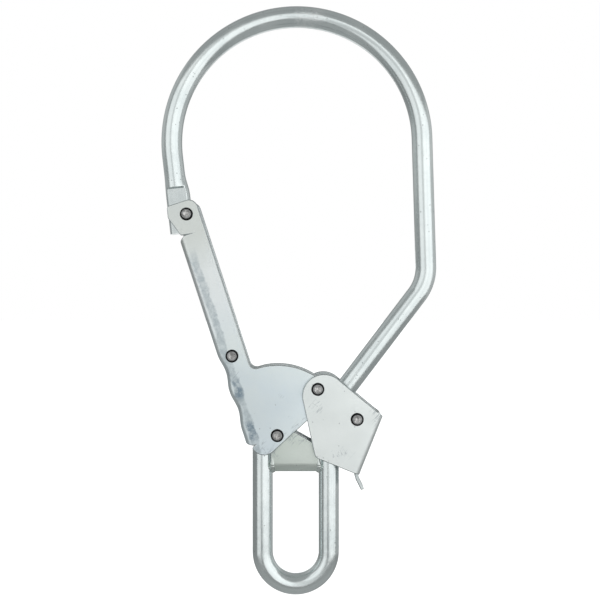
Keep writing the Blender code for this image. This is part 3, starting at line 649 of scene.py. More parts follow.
class Finish:
    """A procedural surface being built: its tree, its shader and the coordinates that it reads."""

    def __init__(self, name, roughness, metallic=1.0, grain=False):
        self.material = bpy.data.materials.new(name)
        self.material.use_nodes = True
        self.tree = self.material.node_tree
        self.shader = self.tree.nodes["Principled BSDF"]
        self.shader.inputs["Metallic"].default_value = metallic
        self.shader.inputs["Roughness"].default_value = roughness
        if grain:
            self.place = new_node(self.tree, "ShaderNodeAttribute", attribute_name="grain").outputs["Vector"]
        else:
            self.place = new_node(self.tree, "ShaderNodeTexCoord").outputs["Object"]

    def mapped(self, scale=(1.0, 1.0, 1.0), turn=(0.0, 0.0, 0.0), shift=(0.0, 0.0, 0.0)):
        inputs = {"Vector": self.place, "Scale": scale, "Rotation": turn, "Location": shift}
        return new_node(self.tree, "ShaderNodeMapping", inputs).outputs[0]

    def noise(self, scale, detail=3.0, vector=None, roughness=0.5):
        inputs = {"Vector": vector or self.place, "Scale": scale, "Detail": detail, "Roughness": roughness}
        return new_node(self.tree, "ShaderNodeTexNoise", inputs).outputs["Fac"]

    def between(self, value, low, high, to_low=0.0, to_high=1.0):
        inputs = {"Value": value, "From Min": low, "From Max": high, "To Min": to_low, "To Max": to_high}
        return new_node(self.tree, "ShaderNodeMapRange", inputs).outputs[0]

    def blend(self, amount, first, second, mode="MIX"):
        made = new_node(self.tree, "ShaderNodeMix", data_type="RGBA", blend_type=mode)
        for socket, value in ((made.inputs[0], amount), (made.inputs[6], first), (made.inputs[7], second)):
            if isinstance(value, bpy.types.NodeSocket):
                self.tree.links.new(value, socket)
            elif isinstance(value, tuple):
                socket.default_value = (*value, 1.0)
            else:
                socket.default_value = value
        return made.outputs[2]

    def math(self, operation, first, second=0.0):
        return math_node(self.tree, operation, first, second)

    def times(self, first, second):
        return times(self.tree, first, second)

    def scratches(self, across, along, turn, keep):
        """Thin broken lines: stretched noise, cut to its narrow crests."""
        turned = self.mapped(turn=turn)
        stretch = {"Vector": turned, "Scale": (across, across, along)}
        stretched = new_node(self.tree, "ShaderNodeMapping", stretch)
        lines = self.noise(1.0, 2.0, stretched.outputs[0])
        crest = self.math("ABSOLUTE", self.math("SUBTRACT", lines, 0.5))
        thin = self.between(crest, 0.004, 0.018, 1.0, 0.0)
        where = self.between(self.noise(60.0, 2.0), keep, keep + 0.05)
        return self.times(thin, where)

    def specks(self, scale, size, keep):
        """Small scattered pits."""
        cells = new_node(self.tree, "ShaderNodeTexVoronoi", {"Vector": self.place, "Scale": scale})
        near = self.between(cells.outputs["Distance"], size * 0.6, size, 1.0, 0.0)
        chosen = new_node(self.tree, "ShaderNodeSeparateColor", {0: cells.outputs["Color"]}).outputs[0]
        return self.times(near, self.math("GREATER_THAN", chosen, keep))

    def finish(self, colour, roughness, height, distance):
        self.tree.links.new(colour, self.shader.inputs["Base Color"])
        self.tree.links.new(roughness, self.shader.inputs["Roughness"])
        relief = {"Strength": 1.0, "Distance": distance, "Height": height}
        bump = new_node(self.tree, "ShaderNodeBump", relief)
        self.tree.links.new(bump.outputs[0], self.shader.inputs["Normal"])
        return self.material


def rod_finish():
    """Bright zinc on drawn bar: long faint draw lines, soft mottling, small pits."""
    zinc = Finish("rod_zinc", 0.2, grain=True)
    drawn = zinc.noise(900.0, 2.0, zinc.mapped(scale=(0.012, 1.0, 1.0)))
    mottle = zinc.noise(55.0, 4.0)
    fine = zinc.noise(420.0, 3.0)
    pits = zinc.specks(520.0, 0.2, 0.86)
    colour = zinc.blend(zinc.between(mottle, 0.35, 0.7), (0.74, 0.8, 0.8), (0.84, 0.89, 0.885))
    colour = zinc.blend(zinc.between(drawn, 0.45, 0.72, 0.0, 0.35), colour, (0.62, 0.68, 0.69))
    colour = zinc.blend(zinc.times(pits, 0.7), colour, (0.3, 0.33, 0.34))
    pressed = new_node(zinc.tree, "ShaderNodeTexCoord").outputs["Object"]
    distance = vector_node(zinc.tree, "DISTANCE", pressed, (6 * MM, -3 * MM, 6 * MM), output="Value")
    wrinkles = zinc.noise(620.0, 5.0, roughness=0.7)
    crest = zinc.times(zinc.between(distance, 13 * MM, 6 * MM), zinc.between(wrinkles, 0.4, 0.62))
    colour = zinc.blend(zinc.times(crest, 0.45), colour, (0.95, 0.97, 0.97))
    roughness = zinc.between(fine, 0.3, 0.7, 0.17, 0.25)
    bumps = zinc.math("ADD", zinc.times(drawn, 0.25), zinc.times(fine, 0.35))
    bumps = zinc.math("ADD", bumps, zinc.times(crest, 1.1))
    bumps = zinc.math("ADD", bumps, zinc.times(mottle, 1.2))
    height = zinc.math("SUBTRACT", bumps, zinc.times(pits, 0.8))
    return zinc.finish(colour, roughness, height, 0.06 * MM)


def sheet_finish(name, light, dark, roughness, marks_and_painted_light=None):
    """Zinc on pressed sheet: clouding, fine rolling lines, scratches and specks, then a piece's own colouring
    if one is given (the gate's holds painted highlight and painted shade).
    """
    zinc = Finish(name, roughness)
    cloud = zinc.noise(28.0, 4.0)
    fine = zinc.noise(650.0, 3.0)
    colour = zinc.blend(zinc.between(cloud, 0.32, 0.68), dark, light)
    colour = zinc.blend(zinc.between(fine, 0.4, 0.75, 0.0, 0.22), colour, dark)
    marks = zinc.scratches(420.0, 26.0, (0.1, -0.75, 0.2), 0.575)
    crossing = zinc.scratches(520.0, 30.0, (0.2, 0.5, 0.1), 0.61)
    marks = zinc.math("MAXIMUM", marks, crossing)
    pits = zinc.specks(330.0, 0.16, 0.9)
    colour = zinc.blend(zinc.times(marks, 0.55), colour, (0.4, 0.45, 0.48))
    colour = zinc.blend(zinc.times(pits, 0.55), colour, (0.45, 0.48, 0.48))
    # A piece's own colouring, which for the gate includes painted highlight and painted shade.
    if marks_and_painted_light:
        colour = marks_and_painted_light(zinc, colour)
    rough = zinc.between(zinc.noise(90.0, 4.0), 0.3, 0.7, roughness - 0.04, roughness + 0.05)
    rough = zinc.math("ADD", rough, zinc.times(marks, 0.12))
    height = zinc.math("ADD", zinc.times(fine, 0.3), zinc.times(cloud, 1.5))
    worn = zinc.math("ADD", marks, zinc.times(pits, 1.5))
    height = zinc.math("SUBTRACT", height, zinc.times(worn, 0.5))
    return zinc.finish(colour, rough, height, 0.05 * MM)


def gate_marks_and_painted_light(zinc, colour):
    """The gate's own colouring: a warmer head, a painted highlight across the middle of its length, painted
    shade in a cloudy strip beside its fold, and darker blue-grey patches in that strip low down, spaced with
    the finger dips.
    """
    upright = new_node(
        zinc.tree,
        "ShaderNodeMapping",
        {"Vector": zinc.place, "Location": GATE_PIVOT, "Rotation": (0.0, GATE_LEAN, 0.0)},
        vector_type="TEXTURE",
    ).outputs[0]
    parts = new_node(zinc.tree, "ShaderNodeSeparateXYZ", {0: upright}).outputs
    across, along = parts["X"], parts["Z"]
    # Painted highlight: the plates are lightened towards white over a stretch across the middle of the gate's
    # length, where the front light's reflection falls.
    middle = zinc.times(zinc.between(along, 50 * MM, 85 * MM), zinc.between(along, 128 * MM, 104 * MM))
    colour = zinc.blend(zinc.times(middle, 0.8), colour, (0.93, 0.965, 0.965))
    colour = zinc.blend(zinc.between(along, 102 * MM, 124 * MM, 0.0, 0.85), colour, (0.77, 0.8, 0.765))
    # Painted shade: a strip of plate beside the fold, with a wandering edge, is darkened towards blue-grey in
    # clouds, standing for the shade of a crease along the fold.
    wander = zinc.between(zinc.noise(75.0, 5.0, roughness=0.65), 0.3, 0.7, -1.4 * MM, 1.4 * MM)
    edge = zinc.math("ADD", across, wander)
    painted_shade_strip = zinc.times(
        zinc.between(edge, -16.4 * MM, -15.2 * MM),
        zinc.between(edge, -11.9 * MM, -10.9 * MM, 1.0, 0.0),
    )
    painted_shade_strip = zinc.times(painted_shade_strip, zinc.between(along, 118 * MM, 108 * MM))
    cloudy = zinc.between(zinc.noise(260.0, 6.0, roughness=0.75), 0.38, 0.6, 0.3, 0.8)
    colour = zinc.blend(zinc.times(painted_shade_strip, cloudy), colour, (0.46, 0.53, 0.56))
    # Darker blue-grey patches inside that painted-shade strip, low on the gate and spaced 25 mm apart about
    # the finger dips.
    phase = zinc.times(zinc.math("SUBTRACT", along, 32 * MM), math.tau / (25 * MM))
    under_dips = zinc.between(zinc.math("COSINE", phase), -0.1, 0.6)
    low = zinc.between(along, 48 * MM, 42 * MM)
    patches = zinc.between(zinc.noise(420.0, 6.0, roughness=0.75), 0.4, 0.56)
    dip_spaced_patches = zinc.times(under_dips, patches)
    amount = zinc.times(zinc.times(painted_shade_strip, low), dip_spaced_patches)
    return zinc.blend(zinc.times(amount, 0.8), colour, (0.2, 0.28, 0.35))


def cut_edge_finish():
    """The sheared and plated edge of the sheets: smoother and glossier than their flats, and painted darker
    than them as shade so that the edges show as dark outlines.
    """
    edge = Finish("cut_edge", 0.16)
    torn = edge.noise(900.0, 3.0)
    cloud = edge.noise(120.0, 3.0)
    # Painted shade: these edge colours are set darker than the flats' to give the sheets dark outlines.
    colour = edge.blend(edge.between(cloud, 0.35, 0.7), (0.48, 0.52, 0.52), (0.64, 0.68, 0.68))
    rough = edge.between(torn, 0.3, 0.7, 0.12, 0.22)
    return edge.finish(colour, rough, torn, 0.02 * MM)


def rivet_finish():
    """Peened steel: bright worn centre with specks, dull ring, and a near-black rim that is painted shade for
    the gap round the head.
    """
    steel = Finish("rivet_steel", 0.35)
    radius = new_node(steel.tree, "ShaderNodeAttribute", attribute_name="from_axis").outputs["Fac"]
    patches = steel.noise(700.0, 5.0, roughness=0.7)
    specks = steel.between(steel.noise(1500.0, 3.0), 0.55, 0.66)
    bright = steel.blend(steel.between(patches, 0.38, 0.62), (0.26, 0.26, 0.255), (0.84, 0.83, 0.82))
    ring = steel.blend(steel.between(patches, 0.35, 0.65), (0.22, 0.22, 0.22), (0.44, 0.45, 0.45))
    colour = steel.blend(steel.between(radius, 1.7 * MM, 2.0 * MM), bright, ring)
    colour = steel.blend(steel.times(specks, 0.6), colour, (0.1, 0.095, 0.09))
    # Painted shade: the rim beyond 2.6 mm is made near-black, standing for the shaded gap round the head.
    colour = steel.blend(steel.between(radius, 2.6 * MM, 2.85 * MM), colour, (0.02, 0.02, 0.022))
    rough = steel.between(patches, 0.3, 0.7, 0.28, 0.5)
    height = steel.math("SUBTRACT", patches, steel.times(specks, 0.6))
    return steel.finish(colour, rough, height, 0.08 * MM)


def wire_finish():
    """Drawn spring wire, slightly blued."""
    wire = Finish("spring_steel", 0.3, grain=True)
    drawn = wire.noise(2500.0, 2.0, wire.mapped(scale=(0.02, 1.0, 1.0)))
    mottle = wire.noise(180.0, 3.0)
    colour = wire.blend(wire.between(mottle, 0.3, 0.7), (0.24, 0.25, 0.28), (0.4, 0.4, 0.41))
    rough = wire.between(drawn, 0.3, 0.7, 0.24, 0.38)
    return wire.finish(colour, rough, drawn, 0.02 * MM)


def sleeve_finish():
    """Cut tube: fine turning lines round its axis, zinc over them."""
    tube = Finish("sleeve_zinc", 0.3)
    rings = tube.noise(1400.0, 2.0, tube.mapped(scale=(0.05, 1.0, 0.05)))
    cloud = tube.noise(160.0, 4.0)
    colour = tube.blend(tube.between(cloud, 0.3, 0.7), (0.5, 0.53, 0.53), (0.68, 0.71, 0.71))
    rough = tube.between(rings, 0.3, 0.7, 0.22, 0.36)
    return tube.finish(colour, rough, rings, 0.03 * MM)


ROD_ZINC = rod_finish()
GATE_ZINC = sheet_finish("gate_zinc", (0.85, 0.915, 0.9), (0.77, 0.86, 0.905), 0.36, gate_marks_and_painted_light)
LEVER_ZINC = sheet_finish("lever_zinc", (0.9, 0.94, 0.925), (0.83, 0.875, 0.865), 0.38)
BRACKET_ZINC = sheet_finish("bracket_zinc", (0.79, 0.85, 0.8), (0.67, 0.735, 0.68), 0.38)
WELD_ZINC = sheet_finish("weld_zinc", (0.78, 0.83, 0.81), (0.58, 0.63, 0.6), 0.22)
RIVET_STEEL = rivet_finish()
SLEEVE_ZINC = sleeve_finish()
SHADE_PAINTED_CUT_EDGE = cut_edge_finish()
INSIDE_ZINC = sheet_finish("inside_zinc", (0.88, 0.92, 0.92), (0.78, 0.83, 0.83), 0.6)
SPRING_STEEL = wire_finish()

BAR = bar_tree()
BEAD = bead_tree()
TURNED = turned_tree()


# The bent rod.


def nose_at(drop):
    """The nose's centre line, this far down from where the bow's arc begins."""
    return Vector((NOSE_TOP.x + drop * math.tan(NOSE_SWEEP), NOSE_TOP.y - drop))


def rod_path():
    bow = arc(BOW_CENTRE, BOW_RADIUS, math.pi + NOSE_SWEEP, STRAIGHT_FLARE, math.radians(1.0))
    top = Vector(bow[-1])
    upper = (top.x + (top.y - UPPER_BEND_Z) * math.tan(STRAIGHT_FLARE), UPPER_BEND_Z)
    side = rounded(
        [
            bow[-1],
            (*upper, BEND_RADIUS),
            (RIGHT_LEG_X, LOWER_BEND_Z, BEND_RADIUS),
            (RIGHT_LEG_X, EYE_CENTRE.y),
        ],
        closed=False,
        step=FINE_ARC,
    )
    eye = arc(EYE_CENTRE, EYE_RADIUS, 0.0, -math.pi, FINE_ARC)
    total = NOSE_STEP_DROP + NOSE_LENGTH
    slope = math.cos(NOSE_SWEEP)
    drops = [total - d * MM for d in (0, 0.3, 2, 6, 10, 14, 18, 22, 25)]
    drops += [NOSE_STEP_DROP, NOSE_STEP_DROP - 0.75 * MM * slope]
    drops += [NOSE_STEP_DROP - d * MM for d in (1.6, 2.6, 4, 6, 8, 10, 13, 16)]
    points = [tuple(nose_at(drop)) for drop in drops] + bow + side[1:-1] + eye
    points.append((LEFT_LEG_X, LEFT_LEG_TOP_Z))
    evened = [points[0]]
    for point in points[1:]:
        gap = (Vector(point) - Vector(evened[-1])).length
        count = max(1, math.ceil(gap / (4 * MM)))
        start = Vector(evened[-1])
        evened += [tuple(start.lerp(Vector(point), (i + 1) / count)) for i in range(count)]
    return [(x, 0.0, z) for x, z in evened]


def make_rod():
    flat = NOSE_LENGTH / math.cos(NOSE_SWEEP)
    rod = grown(
        "bent_rod",
        path_mesh("rod_path", rod_path()),
        BAR,
        sides=72,
        flat_length=flat + 0.05 * MM,
        flat_half_thickness=NOSE_HALF_THICKNESS,
        outer_spread=NOSE_OUTER_SPREAD,
        inner_spread=NOSE_INNER_SPREAD,
        finish=ROD_ZINC,
    )
    pin = placed(GATE_PLACE, *NOSE_RIVET)
    swing = Vector((pin.z - GATE_PIVOT.z, 0.0, GATE_PIVOT.x - pin.x)).normalized()
    lift = Vector((-swing.z, 0.0, swing.x))
    half = SLEEVE_RADIUS + 0.5 * MM
    toward = math.atan2(swing.z, swing.x)
    seat = arc((pin.x, pin.z), half, toward + math.pi / 2, toward + 3 * math.pi / 2)
    for side in (-1, 1):
        corner = pin + swing * 16 * MM + lift * half * side
        seat.append((corner.x, corner.z))
    cut_away(rod, prism(seat, 2 * NOSE_HALF_THICKNESS))
    softened(rod, 0.4 * MM, angle=30, segments=2)
    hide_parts("hook_rod")
    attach(rod, "hook")


make_rod()


# The gate.


def grip_dip(along):
    """How far the two finger dips set the spine in at this height."""
    lowest = GRIP_UPPER_DIP - 1.5 * GRIP_PITCH
    highest = GRIP_UPPER_DIP + 0.5 * GRIP_PITCH
    if not lowest < along < highest:
        return 0.0
    return GRIP_DEPTH / 2 * (1 + math.cos(math.tau * (along - GRIP_UPPER_DIP) / GRIP_PITCH))


def spine_rows():
    """The spine's rows; its two ends are cut on a slant that reaches further on the plates."""
    rows = []
    for i in range(71):
        along = SPINE_BOTTOM + (SPINE_TOP - SPINE_BOTTOM) * i / 70
        upper = max(0.0, 1 - (SPINE_TOP - along) / (8 * MM)) * 3.0 * MM
        lower = max(0.0, 1 - (along - SPINE_BOTTOM) / (6 * MM)) * 2.6 * MM
        rows.append((SPINE_ACROSS + grip_dip(along), along, along + upper - lower))
    return rows


def gate_outline():
    """The plate's free edge, from the spine's top round the head and the fan to the spine's bottom."""
    arm = LEVER_PIVOT - GATE_PIVOT
    fan_radius = arm.length - FAN_CLEARANCE
    lock = GATE_PLACE.inverted() @ placed(LEVER_PLACE, *LOCK_RIVET)
    lock_angle = math.atan2(lock.z, lock.x)
    half = SHANK_RADIUS + 0.6 * MM
    mouth = math.asin(half / fan_radius)
    fan = arc((0, 0), fan_radius, math.radians(83), lock_angle + mouth)
    mouth_side = lock_angle + math.pi / 2
    seat = arc((lock.x, lock.z), half, mouth_side, mouth_side + math.pi, math.radians(12))
    low_fan = arc((0, 0), fan_radius, lock_angle - mouth, lock_angle - math.radians(14.3))
    corner = Vector(low_fan[-1]) - LOBE_CENTRE
    tangent = math.atan2(corner.y, corner.x) - math.acos(LOBE_RADIUS / corner.length)
    lobe = arc(LOBE_CENTRE, LOBE_RADIUS, tangent, math.radians(-172))
    head = [
        (-13.5 * MM, SPINE_TOP + 3 * MM),
        (-16.9 * MM, SPINE_TOP + 3.4 * MM, 0.9 * MM),
        (HEAD_LEFT, PIN_ALONG + 1.2 * MM, 2.4 * MM),
        (HEAD_LEFT + 1.5 * MM, HEAD_TOP, 2 * MM),
        (INNER_EDGE, HEAD_TOP, 5 * MM),
        (INNER_EDGE, fan_radius, 4 * MM),
    ]
    return rounded(head + fan, step=math.radians(6))[1:] + seat + low_fan + lobe


def make_gate():
    gate = folded_channel(
        "gate_channel",
        spine_rows(),
        gate_outline(),
        [round_hole(place, RIVET_HOLE) for place in (NOSE_RIVET, TIE_RIVET, (0.0, 0.0))],
        GATE_OUTER_Y,
        GATE_BEND,
        -1,
        GATE_PLACE,
        GATE_ZINC,
    )
    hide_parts("gate")
    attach(gate, "gate")


make_gate()


# The lever.


def make_lever():
    shoulder = math.radians(69.5)
    lobe_top = LEVER_LOBE_CENTRE + LEVER_LOBE_RADIUS * Vector((math.cos(shoulder), math.sin(shoulder)))
    slope = (lobe_top.y - LEVER_TOP) / (LEVER_SPINE - lobe_top.x)
    inset = LEVER_BEND + PLATE_MARGIN
    rise = LEVER_TOP + slope * inset
    rows = []
    for i in range(7):
        share = i / 6
        height = LEVER_BOTTOM + (LEVER_TOP - LEVER_BOTTOM) * share
        rows.append((LEVER_SPINE, height, LEVER_BOTTOM + (rise - LEVER_BOTTOM) * share))
    lobe = arc(LEVER_LOBE_CENTRE, LEVER_LOBE_RADIUS, shoulder, math.radians(215))
    foot = rounded(
        [lobe[-1], LEVER_CORNER, (LEVER_SPINE - inset, LEVER_BOTTOM)], closed=False, step=math.radians(6)
    )
    tail = rounded(
        [
            (LEVER_SPINE, LEVER_BOTTOM),
            (LEVER_SPINE, LEVER_BOTTOM - 1.6 * MM, 3 * MM),
            tuple(TAIL_TIP),
        ],
        closed=False,
        step=math.radians(6),
    )[1:]
    lever = folded_channel(
        "lever_channel",
        rows,
        lobe + foot[1:-1],
        [round_hole(place, RIVET_HOLE) for place in (LOCK_RIVET, (0.0, 0.0))],
        LEVER_OUTER_Y,
        LEVER_BEND,
        1,
        LEVER_PLACE,
        LEVER_ZINC,
        tail,
    )
    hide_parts("lever")
    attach(lever, "lever")


make_lever()


# The bracket between the legs, its welds, and the lug that the lever turns on.


def make_bracket():
    middle_z = BRACKET_BOTTOM_Z + ROD_RADIUS
    left = GATE_PIVOT.x - BOSS_RADIUS
    normal = Vector((math.sin(BRACKET_SLOPE), math.cos(BRACKET_SLOPE)))
    boss_corner = GATE_PIVOT.z + (BOSS_RADIUS + BOSS_RADIUS * normal.x) / normal.y
    inner_right = RIGHT_LEG_X - 4.5 * MM
    right_z = boss_corner - (inner_right - left) * math.tan(BRACKET_SLOPE)
    inner_left = LEFT_LEG_X + 4.8 * MM
    top = rounded(
        [
            (inner_left, middle_z),
            (inner_left, LEFT_LEG_TOP_Z - 1 * MM, 1.5 * MM),
            (left, LEFT_LEG_TOP_Z + 2.2 * MM, 1.5 * MM),
            (left, boss_corner, BOSS_RADIUS),
            (inner_right, right_z),
            (inner_right, middle_z),
        ],
        closed=False,
        step=math.radians(5),
    )
    shape = bmesh.new()
    rows = []
    for y, z in arc((0.0, middle_z), ROD_RADIUS, -math.pi, 0.0, math.pi / 20):
        rows.append([shape.verts.new((x, y, z)) for x in (inner_left, inner_right)])
    for row, following in zip(rows, rows[1:]):
        shape.faces.new((row[0], row[1], following[1], following[0]))
    hole = round_hole((GATE_PIVOT.x, GATE_PIVOT.z), SLEEVE_HOLE)
    for row, y in ((rows[0], -ROD_RADIUS), (rows[-1], ROD_RADIUS)):
        around = [shape.verts.new((x, y, z)) for x, z in top[1:-1]]
        flat_fill(shape, [[row[0], *around, row[1]], [shape.verts.new((x, y, z)) for x, z in hole]])
    bmesh.ops.recalc_face_normals(shape, faces=shape.faces)
    shape.faces.ensure_lookup_table()
    if shape.faces[10].normal.z > 0:
        bmesh.ops.reverse_faces(shape, faces=shape.faces)
    merge_flats(shape)
    mesh = bpy.data.meshes.new("pivot_bracket_fold")
    shape.to_mesh(mesh)
    shape.free()
    bracket = new_piece("bracket_fold", mesh, BRACKET_ZINC)
    walled(bracket, BRACKET_SHEET)
    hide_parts("pivot_bracket")
    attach(bracket, "hook")


def make_weld(name, leg_x, side):
    """A bead under and up both faces of the fold, where it meets a leg."""
    middle_z = BRACKET_BOTTOM_Z + ROD_RADIUS
    x = leg_x + side * (ROD_RADIUS - 0.1 * MM)
    down = -math.pi / 2
    reach = math.radians(88)
    around = arc((0.0, middle_z), ROD_RADIUS - WELD_SUNK, down - reach, down + reach, math.radians(2))
    upper = LEFT_LEG_TOP_Z - 1.5 * MM
    face = ROD_RADIUS - 0.3 * MM
    points = [(x, -face, upper), *((x, y, z) for y, z in around), (x, face, upper)]
    bead = grown(
        name + "_bead",
        path_mesh(name, points, lambda t: min(1.0, (4 * t * (1 - t)) ** 0.35)),
        BEAD,
        radius=WELD_RADIUS,
        seed=2.0 + side,
        finish=WELD_ZINC,
    )
    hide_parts(name)
    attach(bead, "hook")


def make_ear():
    right = LEVER_PIVOT.x + EAR_RADIUS
    top_z = LOWER_BEND_Z + 11.3 * MM
    outline = rounded(
        [
            (RIGHT_LEG_X + 3 * MM, LOWER_BEND_Z),
            (RIGHT_LEG_X + 9.5 * MM, top_z),
            (right, LEVER_PIVOT.z + EAR_RADIUS / 2, EAR_RADIUS / 2),
            (right, LEVER_PIVOT.z - EAR_RADIUS, EAR_RADIUS),
            (RIGHT_LEG_X + 3 * MM, LOWER_BEND_Z - 16.7 * MM),
        ]
    )
    ear = new_piece("lever_lug", prism(outline, EAR_HALF_THICKNESS), BRACKET_ZINC)
    hole = round_hole((LEVER_PIVOT.x, LEVER_PIVOT.z), SLEEVE_HOLE)
    cut_away(ear, prism(hole, 2 * EAR_HALF_THICKNESS))
    softened(ear, 0.4 * MM, segments=2)
    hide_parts("lever_ear")
    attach(ear, "hook")


make_bracket()
make_weld("left_weld", LEFT_LEG_X, 1)
make_weld("right_weld", RIGHT_LEG_X, -1)
make_ear()


# Rivets and sleeves.


def profile_object(name, profile):
    mesh = bpy.data.meshes.new(name)
    mesh.from_pydata([(r, 0.0, h) for r, h in profile], [(i, i + 1) for i in range(len(profile) - 1)], [])
    made = new_piece(name, mesh)
    made.hide_render = True
    return made


def head_profile(face):
    """A peened head sitting on a face: rough dimple, lip, dull ring, rolled-over rim (which the rivet finish
    paints near-black as shade).
    """
    top = face + HEAD_HEIGHT
    return [
        (0.0, top - 0.34 * MM),
        (0.7 * MM, top - 0.33 * MM),
        (1.35 * MM, top - 0.26 * MM),
        (1.6 * MM, top - 0.08 * MM),
        (1.85 * MM, top),
        (2.2 * MM, top - 0.02 * MM),
        (2.75 * MM, top - 0.1 * MM),
        (3.0 * MM, top - 0.24 * MM),
        (3.35 * MM, top - 0.55 * MM),
        (3.62 * MM, top - 0.82 * MM),
        (3.72 * MM, top - 1.02 * MM),
        (HEAD_RADIUS, face + 0.12 * MM),
        (3.66 * MM, face + 0.01 * MM),
        (SHANK_RADIUS, face + 0.01 * MM),
    ]


def rivet_profile(face):
    half = head_profile(face)
    return half + [(r, -h) for r, h in reversed(half)]


def stud_profile(face, inner):
    foot = [(SHANK_RADIUS, inner), (SHANK_RADIUS - 0.3 * MM, inner - 0.01 * MM), (0.0, inner)]
    return head_profile(face) + foot


def sleeve_profile(half):
    edge = 0.25 * MM
    bore = RIVET_HOLE
    return [
        (SLEEVE_RADIUS, half - edge),
        (SLEEVE_RADIUS, -half + edge),
        (SLEEVE_RADIUS - edge, -half),
        (bore + edge, -half),
        (bore, -half + edge),
        (bore, half - edge),
        (bore + edge, half),
        (SLEEVE_RADIUS - edge, half),
        (SLEEVE_RADIUS, half - edge),
    ]


def turned_set(name, profile, places, body, nodes, seed, finish=RIVET_STEEL):
    points = bpy.data.meshes.new(name)
    points.from_pydata([tuple(place) for place in places], [], [])
    outline = profile_object(name + "_profile", profile)
    made = grown(name, points, TURNED, profile=outline, seed=seed, finish=finish)
    bpy.data.objects.remove(outline, do_unlink=True)
    for face in made.data.polygons:
        face.use_smooth = True
    made.data.set_sharp_from_angle(angle=math.radians(42))
    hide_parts(*nodes)
    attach(made, body)


GATE_PINS = [placed(GATE_PLACE, *place) for place in (NOSE_RIVET, TIE_RIVET, (0.0, 0.0))]
GATE_RIVETS = ("nose_rivet", "tie_rivet", "gate_pivot_rivet")
GATE_SLEEVES = ("nose_sleeve", "tie_sleeve", "gate_pivot_bush")
gate_rivet = rivet_profile(GATE_OUTER_Y)
gate_sleeve = sleeve_profile(GATE_OUTER_Y - SHEET - 0.15 * MM)
lever_rivet = rivet_profile(LEVER_OUTER_Y)
lever_sleeve = sleeve_profile(LEVER_OUTER_Y - SHEET - 0.15 * MM)
turned_set("gate_rivets", gate_rivet, GATE_PINS, "gate", GATE_RIVETS, 4)
turned_set("gate_sleeves", gate_sleeve, GATE_PINS, "gate", GATE_SLEEVES, 1, SLEEVE_ZINC)
turned_set("lever_pivot_pin", lever_rivet, [LEVER_PIVOT], "lever", ["lever_pivot_rivet"], 7)
turned_set(
    "lever_sleeve",
    lever_sleeve,
    [LEVER_PIVOT],
    "lever",
    ["lever_pivot_sleeve"],
    2,
    SLEEVE_ZINC,
)
lock_place = placed(LEVER_PLACE, *LOCK_RIVET)
for side, label in ((1, "front"), (-1, "back")):
    stud = [(r, -side * h) for r, h in stud_profile(LEVER_OUTER_Y, LEVER_OUTER_Y - SHEET)]
    turned_set("lock_stud_" + label, stud, [lock_place], "lever", ["lock_rivet_" + label], 9 + side)


# Springs.


def coil_path(foot, hand, turns, y_start, y_end):
    """A wire from its foot, round a coil about the origin, to its hand, seen from the front."""
    foot_angle = math.atan2(foot[1], foot[0]) - math.acos(COIL_RADIUS / math.hypot(*foot))
    hand_angle = math.atan2(hand[1], hand[0]) + math.acos(COIL_RADIUS / math.hypot(*hand))
    sweep = (foot_angle - hand_angle) % math.tau + turns * math.tau
    steps = round(sweep / math.radians(8))
    ring = []
    for i in range(steps + 1):
        angle = foot_angle - sweep * i / steps
        y = y_start + (y_end - y_start) * i / steps
        ring.append((COIL_RADIUS * math.cos(angle), y, COIL_RADIUS * math.sin(angle)))
    return [(foot[0], y_start, foot[1]), *ring, (hand[0], y_end, hand[1])]


def make_wire(name, points, pivot, node):
    moved = [tuple(Vector(point) + pivot) for point in points]
    wire = grown(name, path_mesh(name, moved), BAR, radius=WIRE_RADIUS, sides=20, finish=SPRING_STEEL)
    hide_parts(node)
    return wire


def make_gate_spring():
    half = COIL_PITCH * 1.5
    lying = ROD_RADIUS - BRACKET_SHEET - 0.1 * MM - WIRE_RADIUS
    floor = BRACKET_BOTTOM_Z + ROD_RADIUS - math.sqrt(lying**2 - half**2)
    foot = (9 * MM, floor - GATE_PIVOT.z)
    beside = SLEEVE_RADIUS + 0.1 * MM + WIRE_RADIUS
    hand = placed(GATE_PLACE, TIE_RIVET[0] + beside, TIE_RIVET[1] + 7 * MM) - GATE_PIVOT
    path = coil_path(foot, (hand.x, hand.z), 3, half, -half)
    spring = make_wire("gate_torsion_spring", path, GATE_PIVOT, "gate_spring")
    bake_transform(spring)


def make_lever_spring():
    inner_y = EAR_HALF_THICKNESS + 0.3 * MM + WIRE_RADIUS
    outer_y = inner_y + COIL_PITCH * 2.5
    rod_side = math.sqrt((ROD_RADIUS + 0.15 * MM + WIRE_RADIUS) ** 2 - inner_y**2)
    foot = (RIGHT_LEG_X + rod_side - LEVER_PIVOT.x, -16.2 * MM)
    across = LEVER_SPINE - SHEET - 0.3 * MM - WIRE_RADIUS
    hand = Matrix.Rotation(LEVER_LEAN, 3, "Y") @ Vector((across, 0.0, -14 * MM))
    for side, label in ((-1, "front"), (1, "back")):
        path = coil_path(foot, (hand.x, hand.z), 2, side * inner_y, side * outer_y)
        spring = make_wire("lever_spring_" + label, path, LEVER_PIVOT, "lever_spring")
        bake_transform(spring)
    bridge = [(hand.x, -outer_y, hand.z), (hand.x, 0.0, hand.z), (hand.x, outer_y, hand.z)]
    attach(make_wire("lever_spring_bridge", bridge, LEVER_PIVOT, "lever_spring"), "lever")


make_gate_spring()
make_lever_spring()


# The studio.


LIGHT_DISTANCE = 1.1
FLOOR_REACH = 6.0
FLOOR_DROP = 2 * MM


def aimed(place, target):
    return (Vector(target) - Vector(place)).to_track_quat("-Z", "Y")


